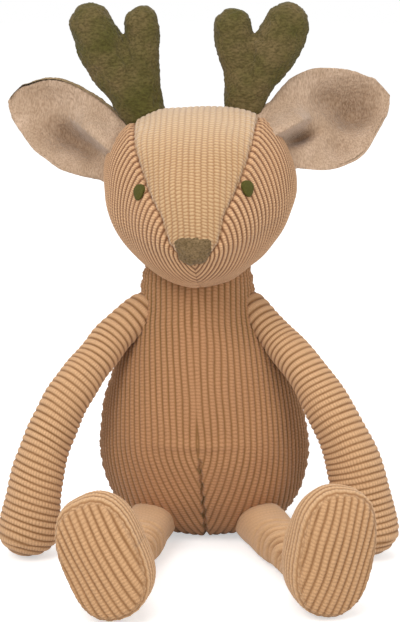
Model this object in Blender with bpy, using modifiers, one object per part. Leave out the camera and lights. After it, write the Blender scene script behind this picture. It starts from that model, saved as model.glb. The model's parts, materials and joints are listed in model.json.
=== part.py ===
"""Seated plush deer in wide-wale corduroy, sewn from panels and stuffed.

Metres, +Z up. The deer faces -Y and sits on the plane z = 0, with the origin under its seat.
Left and right are the deer's own, so its left side is +X. It is modelled seated, at rest.
"""

import math

import bmesh
import bpy
from mathutils import Matrix, Vector

# Cloth and fits
CORDUROY = 0.0012
PLUSH = 0.0015
SEAM_GAP = 0.0008
SEAM_SETBACK = SEAM_GAP / 2
FILLING_GAP = 0.0008
SEAT_GAP = 0.0004

# Body, measured from its side seams, which stand a little behind the origin
BODY_SEAM_Y = 0.004
BODY_HALF_WIDTH = 0.0655
BODY_FRONT = 0.060
BODY_BACK = 0.043
BODY_LEAN = -0.005
BODY_COLUMNS = 24

# Neck dome on which the head nods
NECK_HEIGHT = 0.140
NECK_RADIUS = 0.035
NECK_CLEARANCE = 0.0038
DOME_ANGLES = (14.0, 33.0, 53.0, 72.0)

# Bag of pellets in the seat
PELLET_HALF_WIDTH = 0.034
PELLET_HALF_DEPTH = 0.022
PELLET_HALF_HEIGHT = 0.008
PELLET_SIDES = 14
PELLET_ROWS = 7

# Head
HEAD_RISE = 0.078
HEAD_OFFSET_X = -0.0035
HEAD_OFFSET_Y = -0.005
HEAD_HALF_WIDTH = 0.0590
HEAD_HALF_DEPTH = 0.0550
HEAD_CROWN_HEIGHT = 0.0530
HEAD_JAW_HEIGHT = 0.0550
HEAD_CROWN_FULLNESS = 2.6
HEAD_JAW_FULLNESS = 2.0
HEAD_YAW = -4.0
HEAD_ROLL = -2.6
MUZZLE_REACH = 0.0195
MUZZLE_SPREAD = 38.0
MUZZLE_DROP = 21.0
HEAD_TURNS = 24
SIDE_COLUMNS = 5
GUSSET_COLUMNS = 4
TURN_CROWDING = 0.35
GUSSET_TIP_SHARE = 0.6
MERGE_DISTANCE = 0.00001

# Face
NOSE_HALF_WIDTH = 0.0118
NOSE_HALF_HEIGHT = 0.0082
NOSE_TAPER = 0.30
NOSE_TURN = -19.5
NOSE_THICKNESS = 0.0022
EYE_HALF_WIDTH = 0.0037
EYE_HALF_HEIGHT = 0.0056
EYE_TURN = 9.6
EYE_LEAN = 31.6
EYE_THICKNESS = 0.0014
PATCH_CROWN = 0.0006
PATCH_SIDES = 16
PATCH_RING_SHARES = (1.0, 0.6)

# Ears
EAR_LENGTH = 0.0735
EAR_HALF_WIDTH = 0.0285
EAR_CUP = 0.0085
EAR_ROOT_CUP = 0.0030
EAR_CUP_SETBACK = 0.5
EAR_HINGE_BACK = 0.0022
EAR_RISE = 20.0
EAR_SWEEP = 14.0
EAR_TURN = 99.0
EAR_LEAN = 59.0
LEFT_EAR_STANDOFF = 0.0011
RIGHT_EAR_STANDOFF = 0.0004
EAR_OVERHANG = 0.0012
EAR_SHEET_STEP = 0.0027
EAR_COLUMNS = 6

# Antlers, in the head's own frame, from its centre
ANTLER_TURN = 99.0
ANTLER_ROOT_X = 0.0300
ANTLER_SHIFT_X = -0.0027
ANTLER_FORK_X = 0.0390
ANTLER_FORK_HEIGHT = 0.0785
ANTLER_OUTER_X = 0.0618
ANTLER_OUTER_HEIGHT = 0.1035
ANTLER_INNER_X = 0.0295
ANTLER_INNER_HEIGHT = 0.1030
ANTLER_ROOT_HALF_WIDTH = 0.0150
ANTLER_STEM_HALF_WIDTH = 0.0172
ANTLER_TINE_HALF_WIDTH = 0.0143
ANTLER_HALF_DEPTH = 0.0110
ANTLER_ROOT_HALF_DEPTH = 0.0045
ANTLER_ROOT_DEPTH = 0.0060
ANTLER_STEM_PLACES = (0.5, 0.9)
ANTLER_FORK_SPREAD = 1.4
ANTLER_TINE_PLACE = 0.62
ANTLER_TIP_FLATNESS = 0.9

# Arms, from the shoulder to the blunt end, with the bends' heights from the neck's
ARM_ROOT_RADIUS = 0.0112
ARM_END_RADIUS = 0.0180
ARM_CAP_LENGTH = 0.0085
SHOULDER_RISE = 0.003
SHOULDER_RAISE = 0.0030
SHOULDER_TILT = 27.0
SHOULDER_FORWARD = 22.0
SHOULDER_REACH = 0.075
ARM_SIDES = 12
ARM_SECTIONS = 9
LEFT_ARM_LINE = ((0.058, -0.030, -0.026), (0.093, -0.048, -0.070), (0.1010, -0.060, -0.130))
RIGHT_ARM_LINE = ((-0.069, -0.028, -0.022), (-0.105, -0.042, -0.062), (-0.1075, -0.060, -0.130))

# Legs, from the hip seam to the seam of the sole
HIP_X = 0.034
HIP_HEIGHT = 0.0160
HIP_EDGE = 0.0018
HIP_ROOM = 0.0002
HIP_PLACES = (-1.0, -0.5, 0.0, 0.5, 1.0)
LEG_LENGTH = 0.1339
LEG_HALF_WIDTH = 0.0145
LEG_HALF_HEIGHT = 0.0145
FOOT_HALF_WIDTH = 0.0232
FOOT_HALF_LENGTH = 0.0365
FOOT_SQUARENESS = 0.86
FOOT_RISE = 0.0220
SOLE_CROWN = 0.0045
FOOT_RIM = 0.0010
RIGHT_LEG_YAW = 11.5
LEFT_LEG_YAW = 16.5
RIGHT_FOOT_LEAN = 23.0
LEFT_FOOT_LEAN = 8.0
RIGHT_FOOT_PITCH = 12.0
LEFT_FOOT_PITCH = 3.0
LEG_SIDES = 14
PINCHED_SECTIONS = 2
SOLE_RING_SHARE = 0.6

# Body sections as shares of the neck's height, the half width, the front and the back depth
BODY_SHARES = (
    (0.0, 0.58, 0.43, 0.70),
    (0.064, 0.76, 0.617, 0.837),
    (0.143, 0.87, 0.775, 0.907),
    (0.257, 0.97, 0.917, 0.977),
    (0.407, 1.02, 1.0, 1.0),
    (0.557, 0.977, 0.975, 0.97),
    (0.714, 0.878, 0.883, 0.895),
    (0.857, 0.763, 0.775, 0.835),
    (0.979, 0.626, 0.642, 0.83),
)

# Lean in degrees of the forehead panel's seams at turns in degrees, from the nose to the nape
GUSSET_SEAM = (
    (-20.0, 9.0),
    (-3.0, 17.0),
    (7.0, 24.0),
    (28.0, 33.0),
    (66.0, 39.0),
    (90.0, 40.0),
    (120.0, 38.0),
    (150.0, 31.0),
    (180.0, 24.0),
    (210.0, 13.0),
    (238.0, 2.0),
)

# Rounded end of an arm as shares of its radius and of its cap's length
CAP_SHARES = ((0.86, 0.5), (0.55, 0.86))

# Ear sections as shares of its length and half width
EAR_SHARES = (
    (0.0, 0.48),
    (0.1, 0.68),
    (0.22, 0.89),
    (0.37, 0.99),
    (0.53, 1.0),
    (0.68, 0.88),
    (0.81, 0.66),
    (0.91, 0.41),
    (0.97, 0.2),
)

# Leg sections as shares: along the leg, of its half width and half height, then of the foot's
# half width and half length, and of the foot's rise
LEG_SHARES = (
    (0.0, 0.80, 0.0, 0.0, 0.0, 0.0),
    (0.06, 0.90, 0.46, 0.0, 0.0, 0.0),
    (0.14, 0.97, 0.80, 0.0, 0.0, 0.0),
    (0.24, 1.0, 0.96, 0.0, 0.0, 0.0),
    (0.45, 0.98, 0.97, 0.0, 0.0, 0.0),
    (0.66, 1.0, 1.0, 0.0, 0.0, 0.0),
    (0.725, 0.60, 0.62, 0.37, 0.32, 0.26),
    (0.78, 0.23, 0.23, 0.75, 0.68, 0.64),
    (0.84, 0.0, 0.0, 0.96, 0.92, 0.90),
    (0.91, 0.0, 0.0, 1.0, 1.0, 1.0),
    (0.96, 0.0, 0.0, 1.0, 1.0, 1.0),
    (1.0, 0.0, 0.0, 0.96, 0.97, 1.0),
)

COLOURS = {
    "corduroy": ((0.50, 0.27, 0.14, 1.0), 0.95),
    "pale_corduroy": ((0.60, 0.38, 0.22, 1.0), 0.95),
    "dark_plush": ((0.14, 0.11, 0.05, 1.0), 1.0),
    "pale_plush": ((0.48, 0.34, 0.24, 1.0), 1.0),
    "nose_plush": ((0.22, 0.15, 0.09, 1.0), 1.0),
    "eye_thread": ((0.05, 0.05, 0.02, 1.0), 0.8),
    "filling": ((0.85, 0.85, 0.82, 1.0), 1.0),
    "pellets": ((0.75, 0.76, 0.74, 1.0), 0.6),
}


def clear_scene():
    for obj in list(bpy.data.objects):
        bpy.data.objects.remove(obj, do_unlink=True)


def make_collection(name):
    collection = bpy.data.collections.new(name)
    bpy.context.scene.collection.children.link(collection)
    return collection


def make_material(name):
    """A Principled material with the named colour and roughness."""
    material = bpy.data.materials.get(name)
    if material:
        return material
    colour, roughness = COLOURS[name]
    material = bpy.data.materials.new(name)
    material.use_nodes = True
    shader = material.node_tree.nodes["Principled BSDF"]
    shader.inputs["Base Color"].default_value = colour
    shader.inputs["Roughness"].default_value = roughness
    shader.inputs["Metallic"].default_value = 0.0
    return material


def make_pivot(name, location, axis, parent=None):
    """An empty with its Z axis along a joint, which carries the pieces that move with it."""
    pivot = bpy.data.objects.new(name, None)
    PARTS.objects.link(pivot)
    pivot.parent = parent
    turn = axis.to_track_quat("Z", "Y").to_matrix().to_4x4()
    pivot.matrix_world = Matrix.Translation(location) @ turn
    bpy.context.view_layer.update()
    return pivot


def add_piece(shape, name, material, pivot):
    """Turns a bmesh in world coordinates into an object whose origin is at its pivot."""
    bmesh.ops.transform(shape, matrix=pivot.matrix_world.inverted(), verts=shape.verts)
    mesh = bpy.data.meshes.new(name)
    shape.to_mesh(mesh)
    shape.free()
    mesh.shade_smooth()
    mesh.materials.append(make_material(material))
    piece = bpy.data.objects.new(name, mesh)
    PARTS.objects.link(piece)
    piece.parent = pivot
    return piece


def give_thickness(piece, thickness):
    """Makes a cloth shell of an open surface, growing inwards from its outer face."""
    solidify = piece.modifiers.new("Cloth", "SOLIDIFY")
    solidify.thickness = thickness
    solidify.offset = -1.0
    return solidify


def face_outward(shape, inside):
    """Turns every face away from a point inside the form."""
    shape.normal_update()
    outward = sum(
        (face.calc_center_median() - inside).dot(face.normal) * face.calc_area()
        for face in shape.faces
    )
    if outward < 0:
        bmesh.ops.reverse_faces(shape, faces=shape.faces)
    shape.normal_update()


def middle_of(points):
    return sum(points, Vector()) / len(points)


def shrink(shape, distance):
    """Moves each point inwards along its normal."""
    shape.normal_update()
    moves = [(vertex, vertex.normal.copy()) for vertex in shape.verts]
    for vertex, normal in moves:
        vertex.co -= normal * distance


def loft(sections, start=None, end=None, around=True):
    """Joins rings or rows of points by faces, with an optional pole at either end."""
    shape = bmesh.new()
    rings = [[shape.verts.new(point) for point in section] for section in sections]
    count = len(sections[0])
    steps = range(count) if around else range(count - 1)
    for lower, upper in zip(rings, rings[1:]):
        for step in steps:
            after = (step + 1) % count
            shape.faces.new((lower[step], lower[after], upper[after], upper[step]))
    for pole, ring in ((start, rings[0]), (end, rings[-1])):
        if pole is None:
            continue
        tip = shape.verts.new(pole)
        for step in steps:
            shape.faces.new((ring[step], ring[(step + 1) % count], tip))
    bmesh.ops.recalc_face_normals(shape, faces=shape.faces)
    return in_triangles(shape)


def in_triangles(shape):
    """Splits the faces alike on every layer of a form, so that its layers keep their distance."""
    bmesh.ops.triangulate(shape, faces=shape.faces, quad_method="SHORT_EDGE")
    return shape


def cut_flat(shape, point, normal, reach=math.inf):
    """Removes what lies behind a plane near a point, and closes the cut with flat faces."""
    near = [face for face in shape.faces if (face.calc_center_median() - point).length < reach]
    lines = dict.fromkeys(edge for face in near for edge in face.edges)
    corners = dict.fromkeys(vertex for face in near for vertex in face.verts)
    cut = bmesh.ops.bisect_plane(
        shape, geom=[*corners, *lines, *near], plane_co=point, plane_no=-normal, clear_outer=True
    )
    edges = [item for item in cut["geom_cut"] if isinstance(item, bmesh.types.BMEdge)]
    bmesh.ops.triangle_fill(shape, edges=edges, use_beauty=True, normal=-normal)


def cloth_over(outer, inner, thickness):
    """The skin of a closed form: its outer surface, and the inner one moved in by the cloth."""
    shrink(inner, thickness)
    bmesh.ops.reverse_faces(inner, faces=inner.faces)
    lining = bpy.data.meshes.new("lining")
    inner.to_mesh(lining)
    inner.free()
    outer.from_mesh(lining)
    bpy.data.meshes.remove(lining)
    return outer


def along_table(table, place):
    """Reads a table whose first column rises, with a smooth curve through its rows."""
    last = len(table) - 1
    row = 0
    while row < last - 1 and place > table[row + 1][0]:
        row += 1
    low, high = table[row], table[row + 1]
    before = table[max(row - 1, 0)]
    after = table[min(row + 2, last)]
    step = high[0] - low[0]
    share = min(max((place - low[0]) / step, 0.0), 1.0)
    values = []
    for column in range(1, len(low)):
        slope_low = (high[column] - before[column]) / (high[0] - before[0]) * step
        slope_high = (after[column] - low[column]) / (after[0] - low[0]) * step
        values.append(hermite(share, low[column], high[column], slope_low, slope_high))
    return values


def hermite(share, low, high, slope_low, slope_high):
    square = share * share
    cube = square * share
    return (
        (2 * cube - 3 * square + 1) * low
        + (cube - 2 * square + share) * slope_low
        + (3 * square - 2 * cube) * high
        + (cube - square) * slope_high
    )


# Body

def body_ring(height, half_width, front, back):
    """One level ring of the body, starting at its left side seam."""
    ring = []
    for column in range(BODY_COLUMNS):
        angle = math.tau * column / BODY_COLUMNS
        depth = back if math.sin(angle) > 0 else front
        across = body_middle_x(height) + half_width * math.cos(angle)
        ring.append(Vector((across, BODY_SEAM_Y + depth * math.sin(angle), height)))
    return ring


def body_middle_x(height):
    """The body leans to its right as it rises."""
    return BODY_LEAN * min(height / NECK_HEIGHT, 1.0) ** 2


def body_rings():
    rings = []
    for share, width, front, back in BODY_SHARES:
        sizes = (width * BODY_HALF_WIDTH, front * BODY_FRONT, back * BODY_BACK)
        rings.append(body_ring(share * NECK_HEIGHT, *sizes))
    for degrees in DOME_ANGLES:
        angle = math.radians(degrees)
        radius = NECK_RADIUS * math.cos(angle)
        height = NECK_HEIGHT + NECK_RADIUS * math.sin(angle)
        rings.append(body_ring(height, radius, radius, radius))
    return rings


def neck_point():
    return Vector((BODY_LEAN, BODY_SEAM_Y, NECK_HEIGHT))


def neck_top():
    return neck_point() + Vector((0.0, 0.0, NECK_RADIUS))


def seat_middle():
    return Vector((0.0, BODY_SEAM_Y, 0.0))


def body_panel(name, first, last, keep_clear, pivot):
    """A panel of the body between two columns, set back from its neighbours at the seams."""
    columns = [column % BODY_COLUMNS for column in range(first, last + 1)]
    rows = [[ring[column] for column in columns] for ring in body_rings()]
    shape = loft(rows, start=seat_middle(), end=neck_top(), around=False)
    for vertex in shape.verts:
        keep_clear(vertex.co)
    face_outward(shape, seat_middle().lerp(neck_point(), 0.5))
    give_thickness(add_piece(shape, name, "corduroy", pivot), CORDUROY)


def clear_of_back(point):
    point.y = min(point.y, BODY_SEAM_Y - SEAM_SETBACK)


def clear_of_right(point):
    point.y = max(point.y, BODY_SEAM_Y + SEAM_SETBACK)
    point.x = max(point.x, body_middle_x(point.z) + SEAM_SETBACK)


def clear_of_left(point):
    point.y = max(point.y, BODY_SEAM_Y + SEAM_SETBACK)
    point.x = min(point.x, body_middle_x(point.z) - SEAM_SETBACK)


def pellet_shape(extra):
    """The flattened bag of pellets, which lies on the seat's cloth, grown by a margin."""
    lift = CORDUROY + FILLING_GAP + PELLET_HALF_HEIGHT
    sizes = (
        PELLET_HALF_WIDTH + extra,
        PELLET_HALF_DEPTH + extra,
        PELLET_HALF_HEIGHT + extra,
    )
    shape = bmesh.new()
    place = Matrix.Translation(Vector((0.0, BODY_SEAM_Y, lift))) @ Matrix.Diagonal((*sizes, 1.0))
    bmesh.ops.create_uvsphere(
        shape, u_segments=PELLET_SIDES, v_segments=PELLET_ROWS, radius=1.0, matrix=place
    )
    return shape


def make_body(pivot):
    quarter = BODY_COLUMNS // 4
    body_panel("body_front", 2 * quarter, 4 * quarter, clear_of_back, pivot)
    body_panel("body_back_left", 0, quarter, clear_of_right, pivot)
    body_panel("body_back_right", quarter, 2 * quarter, clear_of_left, pivot)
    filling = loft(body_rings(), start=seat_middle(), end=neck_top())
    shrink(filling, CORDUROY + FILLING_GAP)
    filling = add_piece(filling, "body_stuffing", "filling", pivot)
    add_piece(pellet_shape(0.0), "pellet_bag", "pellets", pivot)
    cutter = add_piece(pellet_shape(FILLING_GAP), "pellet_recess", "pellets", pivot)
    PARTS.objects.unlink(cutter)
    CUTTERS.objects.link(cutter)
    cutter.hide_render = True
    cutter.display_type = "WIRE"
    recess = filling.modifiers.new("Pellet recess", "BOOLEAN")
    recess.operation = "DIFFERENCE"
    recess.solver = "EXACT"
    recess.object = cutter


# Head

def head_frame():
    """Places the head's own frame, centre at zero and face to -Y, in the world."""
    centre = Vector((HEAD_OFFSET_X, HEAD_OFFSET_Y, NECK_HEIGHT + HEAD_RISE))
    yaw = Matrix.Rotation(math.radians(HEAD_YAW), 4, "Z")
    roll = Matrix.Rotation(math.radians(HEAD_ROLL), 4, "Y")
    return Matrix.Translation(centre) @ yaw @ roll


def head_direction(turn, lean):
    """A direction from the head's centre: turn goes up from the face, lean out to the left."""
    turn = math.radians(turn)
    lean = math.radians(lean)
    forward = -math.cos(lean) * math.cos(turn)
    return Vector((math.sin(lean), forward, math.cos(lean) * math.sin(turn)))


def head_reach(direction):
    """How far the head's surface lies from its centre: a full oval with a muzzle."""
    crown = direction.z > 0
    fullness = HEAD_CROWN_FULLNESS if crown else HEAD_JAW_FULLNESS
    height = HEAD_CROWN_HEIGHT if crown else HEAD_JAW_HEIGHT
    across = abs(direction.x / HEAD_HALF_WIDTH) ** fullness
    upward = abs(direction.z / height) ** fullness
    outline = (across + upward) ** (2 / fullness)
    oval = 1 / math.sqrt(outline + (direction.y / HEAD_HALF_DEPTH) ** 2)
    away = math.degrees(direction.angle(head_direction(-MUZZLE_DROP, 0.0)))
    return oval + MUZZLE_REACH * math.exp(-((away / MUZZLE_SPREAD) ** 2))


def head_point(turn, lean, lift=0.0):
    """A world point on the head, pressed in where it sits on the neck dome."""
    direction = head_direction(turn, lean)
    point = head_frame() @ (direction * (head_reach(direction) + lift))
    from_neck = point - neck_point()
    hollow = NECK_RADIUS + NECK_CLEARANCE
    if from_neck.length < hollow:
        point = neck_point() + from_neck.normalized() * hollow
    return point


def turn_at(step):
    """Turn in degrees of a row round the head, with the rows closer at the muzzle."""
    angle = math.tau * step / HEAD_TURNS
    return GUSSET_SEAM[0][0] + math.degrees(angle - TURN_CROWDING * math.sin(angle))


def gusset_steps():
    return [step for step in range(HEAD_TURNS) if turn_at(step) <= GUSSET_SEAM[-1][0]]


def seam_lean(step):
    """Lean of a side panel's edge: the forehead panel's seam, or the chin seam."""
    if step % HEAD_TURNS in gusset_steps():
        return along_table(GUSSET_SEAM, turn_at(step % HEAD_TURNS))[0]
    return 0.0


def head_row_point(step, lean, shift=0.0):
    """A point of a row round the head, moved sideways by a shift where it borders a seam."""
    sideways = head_frame().to_3x3() @ Vector((shift, 0.0, 0.0))
    return head_point(turn_at(step), lean) + sideways


def side_ring(column, side, seam_shift):
    """One column of a side panel, counted from its seams."""
    share = column / SIDE_COLUMNS
    shift = 0.0 if column else seam_shift
    ring = []
    for step in range(HEAD_TURNS):
        edge = seam_lean(step)
        ring.append(head_row_point(step, side * (edge + (90.0 - edge) * share), shift))
    return ring


def make_head_side(name, side, pivot):
    """One side panel, from its seams to the middle of the cheek."""
    rings = [side_ring(column, side, side * SEAM_SETBACK) for column in range(SIDE_COLUMNS)]
    shape = loft(rings, end=head_point(0.0, side * 90.0))
    face_outward(shape, head_frame().translation)
    give_thickness(add_piece(shape, name, "corduroy", pivot), CORDUROY)


def make_gusset(pivot):
    """The forehead panel from nose to nape, which narrows to a tip at either end."""
    last = gusset_steps()[-1]
    rows = []
    for step in gusset_steps():
        row = []
        for column in range(GUSSET_COLUMNS + 1):
            across = 2 * column / GUSSET_COLUMNS - 1
            shift = -across * SEAM_SETBACK
            row.append(head_row_point(step, across * seam_lean(step), shift))
        rows.append(row)
    tips = []
    for edge, beyond in ((0, HEAD_TURNS - 1), (last, last + 1)):
        tips.append(head_row_point(edge, 0.0).lerp(head_row_point(beyond, 0.0), GUSSET_TIP_SHARE))
    shape = loft(rows, start=tips[0], end=tips[1], around=False)
    face_outward(shape, head_frame().translation)
    give_thickness(add_piece(shape, "head_gusset", "pale_corduroy", pivot), CORDUROY)


def make_head_stuffing(pivot):
    rings = [side_ring(column, -1, 0.0) for column in reversed(range(SIDE_COLUMNS))]
    for column in range(1, GUSSET_COLUMNS):
        across = 2 * column / GUSSET_COLUMNS - 1
        leans = [across * seam_lean(step) for step in range(HEAD_TURNS)]
        rings.append([head_row_point(step, lean) for step, lean in enumerate(leans)])
    rings += [side_ring(column, 1, 0.0) for column in range(SIDE_COLUMNS)]
    shape = loft(rings, start=head_point(0.0, -90.0), end=head_point(0.0, 90.0))
    bmesh.ops.remove_doubles(shape, verts=shape.verts, dist=MERGE_DISTANCE)
    face_outward(shape, head_frame().translation)
    shrink(shape, CORDUROY + FILLING_GAP)
    add_piece(shape, "head_stuffing", "filling", pivot)


def make_patch(name, material, turn, lean, half_width, half_height, taper, thickness, pivot):
    """A small crowned patch on the head: wider at the top by its taper."""
    reach = head_reach(head_direction(turn, lean))
    lift = SEAT_GAP + thickness
    rings = []
    for share in PATCH_RING_SHARES:
        ring = []
        for side in range(PATCH_SIDES):
            angle = math.tau * side / PATCH_SIDES
            up = math.sin(angle) * share
            across = math.cos(angle) * share * half_width * (1 + taper * up)
            turn_here = turn + math.degrees(up * half_height / reach)
            lean_here = lean + math.degrees(across / reach)
            ring.append(head_point(turn_here, lean_here, lift + PATCH_CROWN * (1 - share)))
        rings.append(ring)
    shape = loft(rings, end=head_point(turn, lean, lift + PATCH_CROWN))
    face_outward(shape, head_frame().translation)
    give_thickness(add_piece(shape, name, material, pivot), thickness)


def make_face(pivot):
    make_patch(
        "nose", "nose_plush", NOSE_TURN, 0.0,
        NOSE_HALF_WIDTH, NOSE_HALF_HEIGHT, NOSE_TAPER, NOSE_THICKNESS, pivot,
    )
    for name, side in (("eye_left", 1), ("eye_right", -1)):
        make_patch(
            name, "eye_thread", EYE_TURN, side * EYE_LEAN,
            EYE_HALF_WIDTH, EYE_HALF_HEIGHT, 0.0, EYE_THICKNESS, pivot,
        )


def head_seat(turn, lean):
    """A point on the head, its outward normal and the level line along the surface there."""
    step = 1.0
    point = head_point(turn, lean)
    along_turn = head_point(turn + step, lean) - head_point(turn - step, lean)
    along_lean = head_point(turn, lean + step) - head_point(turn, lean - step)
    normal = along_turn.cross(along_lean).normalized()
    if normal.dot(point - head_frame().translation) < 0:
        normal.negate()
    return point, normal, along_lean.normalized()


# Ears

def ear_axes(side):
    """Root point of an ear, and its directions: out along it, up across it and forward."""
    root, normal, along = head_seat(EAR_TURN, side * EAR_LEAN)
    rise = math.radians(EAR_RISE)
    sweep = math.radians(EAR_SWEEP)
    level = math.cos(rise)
    out = Vector((side * level * math.cos(sweep), level * math.sin(sweep), math.sin(rise)))
    upward = -side * along
    forward = out.cross(upward).normalized() * side
    return root, out, upward, forward


def ear_surface(side, grow, depth):
    """Rows of points over the ear's cupped leaf, set back by a depth."""
    root, out, upward, forward = ear_axes(side)
    start = SEAT_GAP + (LEFT_EAR_STANDOFF if side > 0 else RIGHT_EAR_STANDOFF)
    rows = []
    for row in range(len(EAR_SHARES)):
        share = EAR_SHARES[row][0]
        half_width = EAR_SHARES[row][1] * EAR_HALF_WIDTH + grow
        cup = EAR_CUP * math.sin(math.pi * share) + EAR_ROOT_CUP * (1 - share)
        line = []
        for column in range(EAR_COLUMNS + 1):
            across = 2 * column / EAR_COLUMNS - 1
            point = root + out * (start + share * EAR_LENGTH)
            point += upward * (across * half_width)
            point += forward * (cup * (across * across - EAR_CUP_SETBACK) - depth)
            line.append(point)
        rows.append(line)
    tip = root + out * (start + EAR_LENGTH + grow) - forward * depth
    return rows, tip


def make_ear(name, side, head_pivot):
    root, out, upward, forward = ear_axes(side)
    hinge = root + out * SEAT_GAP - forward * EAR_HINGE_BACK
    pivot = make_pivot(name + "_hinge", hinge, -side * upward, head_pivot)
    sheets = (
        ("_lining", "pale_plush", 0.0, 0.0),
        ("_back", "dark_plush", EAR_OVERHANG, EAR_SHEET_STEP),
    )
    for suffix, material, grow, depth in sheets:
        rows, tip = ear_surface(side, grow, depth)
        shape = loft(rows, end=tip, around=False)
        face_outward(shape, tip - forward * EAR_LENGTH)
        give_thickness(add_piece(shape, name + suffix, material, pivot), PLUSH)


# Antlers

def antler_cage(side):
    """A coarse closed cage of the antler in the head's frame: a stem that forks in two tines."""
    lean = math.degrees(math.asin(ANTLER_ROOT_X / HEAD_HALF_WIDTH))
    root, normal, along = head_seat(ANTLER_TURN, side * lean)
    to_head = head_frame().inverted()
    root = to_head @ root
    along = (to_head.to_3x3() @ along) * side
    normal = to_head.to_3x3() @ normal
    along.y = 0.0
    fork = Vector((side * ANTLER_FORK_X + ANTLER_SHIFT_X, root.y, ANTLER_FORK_HEIGHT))
    outer = Vector((side * ANTLER_OUTER_X + ANTLER_SHIFT_X, root.y, ANTLER_OUTER_HEIGHT))
    inner = Vector((side * ANTLER_INNER_X + ANTLER_SHIFT_X, root.y, ANTLER_INNER_HEIGHT))
    level = Vector((side, 0.0, 0.0))
    below = root - normal * ANTLER_ROOT_DEPTH
    waist, crotch = (root.lerp(fork, place) for place in ANTLER_STEM_PLACES)
    stem = (
        (below, along, ANTLER_ROOT_HALF_WIDTH, ANTLER_ROOT_HALF_DEPTH),
        (waist, along, ANTLER_STEM_HALF_WIDTH, ANTLER_HALF_DEPTH),
        (crotch, level, ANTLER_STEM_HALF_WIDTH * ANTLER_FORK_SPREAD, ANTLER_HALF_DEPTH),
    )
    return root, along, normal, fork, outer, inner, stem


def cage_edge(shape, middle, half_width, half_depth, across):
    """Front and back points at one side of a cage section."""
    back = Vector((0.0, half_depth, 0.0))
    place = middle + across * half_width
    return shape.verts.new(place - back), shape.verts.new(place + back)


def antler_form(side):
    """The antler as a closed smooth form, with its root point and two directions there."""
    root, along, normal, fork, outer, inner, stem = antler_cage(side)
    shape = bmesh.new()
    sections = []
    for middle, across, half_width, half_depth in stem:
        sections.append([
            cage_edge(shape, middle, half_width, half_depth, across * place)
            for place in (-1, 0, 1)
        ])
    for lower, upper in zip(sections, sections[1:]):
        join_sections(shape, lower, upper)
    cap_section(shape, sections[0])
    top = sections[-1]
    for tip, columns in ((outer, top[1:]), (inner, top[:2])):
        grow_tine(shape, columns, fork, tip, side)
    bmesh.ops.recalc_face_normals(shape, faces=shape.faces)
    smooth = subdivided(shape)
    frame = head_frame()
    turn = frame.to_3x3()
    bmesh.ops.transform(smooth, matrix=frame, verts=smooth.verts)
    return smooth, frame @ root, turn @ along, turn @ normal


def join_sections(shape, lower, upper):
    """Side faces between two sections, each a row of front and back points."""
    for place in range(len(lower) - 1):
        shape.faces.new((lower[place][0], lower[place + 1][0], upper[place + 1][0], upper[place][0]))
        shape.faces.new((lower[place + 1][1], lower[place][1], upper[place][1], upper[place + 1][1]))
    for place in (0, -1):
        shape.faces.new((lower[place][1], lower[place][0], upper[place][0], upper[place][1]))


def cap_section(shape, section):
    for one, other in zip(section, section[1:]):
        shape.faces.new((one[0], other[0], other[1], one[1]))


def grow_tine(shape, columns, fork, tip, side):
    """Sections from the top of the stem to the rounded end of one tine."""
    direction = (tip - fork).normalized()
    across = Vector((direction.z, 0.0, -direction.x)) * side
    reach = tip + direction * ANTLER_TINE_HALF_WIDTH
    places = (
        (fork.lerp(tip, ANTLER_TINE_PLACE), ANTLER_TINE_HALF_WIDTH, ANTLER_HALF_DEPTH),
        (reach, ANTLER_TINE_HALF_WIDTH, ANTLER_HALF_DEPTH * ANTLER_TIP_FLATNESS),
    )
    previous = columns
    for middle, half_width, half_depth in places:
        section = [
            cage_edge(shape, middle, half_width, half_depth, across * place)
            for place in (-1, 1)
        ]
        join_sections(shape, previous, section)
        previous = section
    cap_section(shape, previous)


def subdivided(cage):
    """The cage as a subdivision surface, in a new bmesh."""
    mesh = bpy.data.meshes.new("cage")
    cage.to_mesh(mesh)
    cage.free()
    holder = bpy.data.objects.new("cage", mesh)
    PARTS.objects.link(holder)
    surface = holder.modifiers.new("Form", "SUBSURF")
    surface.levels = surface.render_levels = 1
    graph = bpy.context.evaluated_depsgraph_get()
    made = bpy.data.meshes.new_from_object(holder.evaluated_get(graph))
    shape = bmesh.new()
    shape.from_mesh(made)
    bpy.data.objects.remove(holder)
    bpy.data.meshes.remove(made)
    return in_triangles(shape)


def make_antler(name, side, head_pivot):
    form, root, along, normal = antler_form(side)
    pivot = make_pivot(name + "_hinge", root, side * along, head_pivot)
    facing = head_frame().to_3x3() @ Vector((0.0, 1.0, 0.0))
    for suffix, direction in (("_front", -facing), ("_back", facing)):
        panel = cloth_over(form.copy(), form.copy(), PLUSH)
        cut_flat(panel, root, normal)
        cut_flat(panel, root + direction * SEAM_SETBACK, direction)
        add_piece(panel, name + suffix, "dark_plush", pivot)
    shrink(form, PLUSH + FILLING_GAP)
    cut_flat(form, root + normal * FILLING_GAP, normal)
    add_piece(form, name + "_stuffing", "filling", pivot)


# Arms

def shoulder_normal(side):
    tilt = math.radians(SHOULDER_TILT)
    forward = math.radians(SHOULDER_FORWARD)
    level = Vector((side * math.cos(forward), -math.sin(forward), 0.0))
    return level * math.cos(tilt) + Vector((0.0, 0.0, math.sin(tilt)))


def shoulder_point(side):
    """The middle of the shoulder seam, on the plane that just clears the body's side."""
    normal = shoulder_normal(side)
    reach = max(normal.dot(point) for ring in body_rings() for point in ring) + SEAT_GAP
    height = NECK_HEIGHT + SHOULDER_RISE
    middle = Vector((body_middle_x(height), BODY_SEAM_Y, height))
    level = Vector((normal.x, normal.y, 0.0))
    return middle + level * ((reach - normal.dot(middle)) / level.dot(normal))


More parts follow.
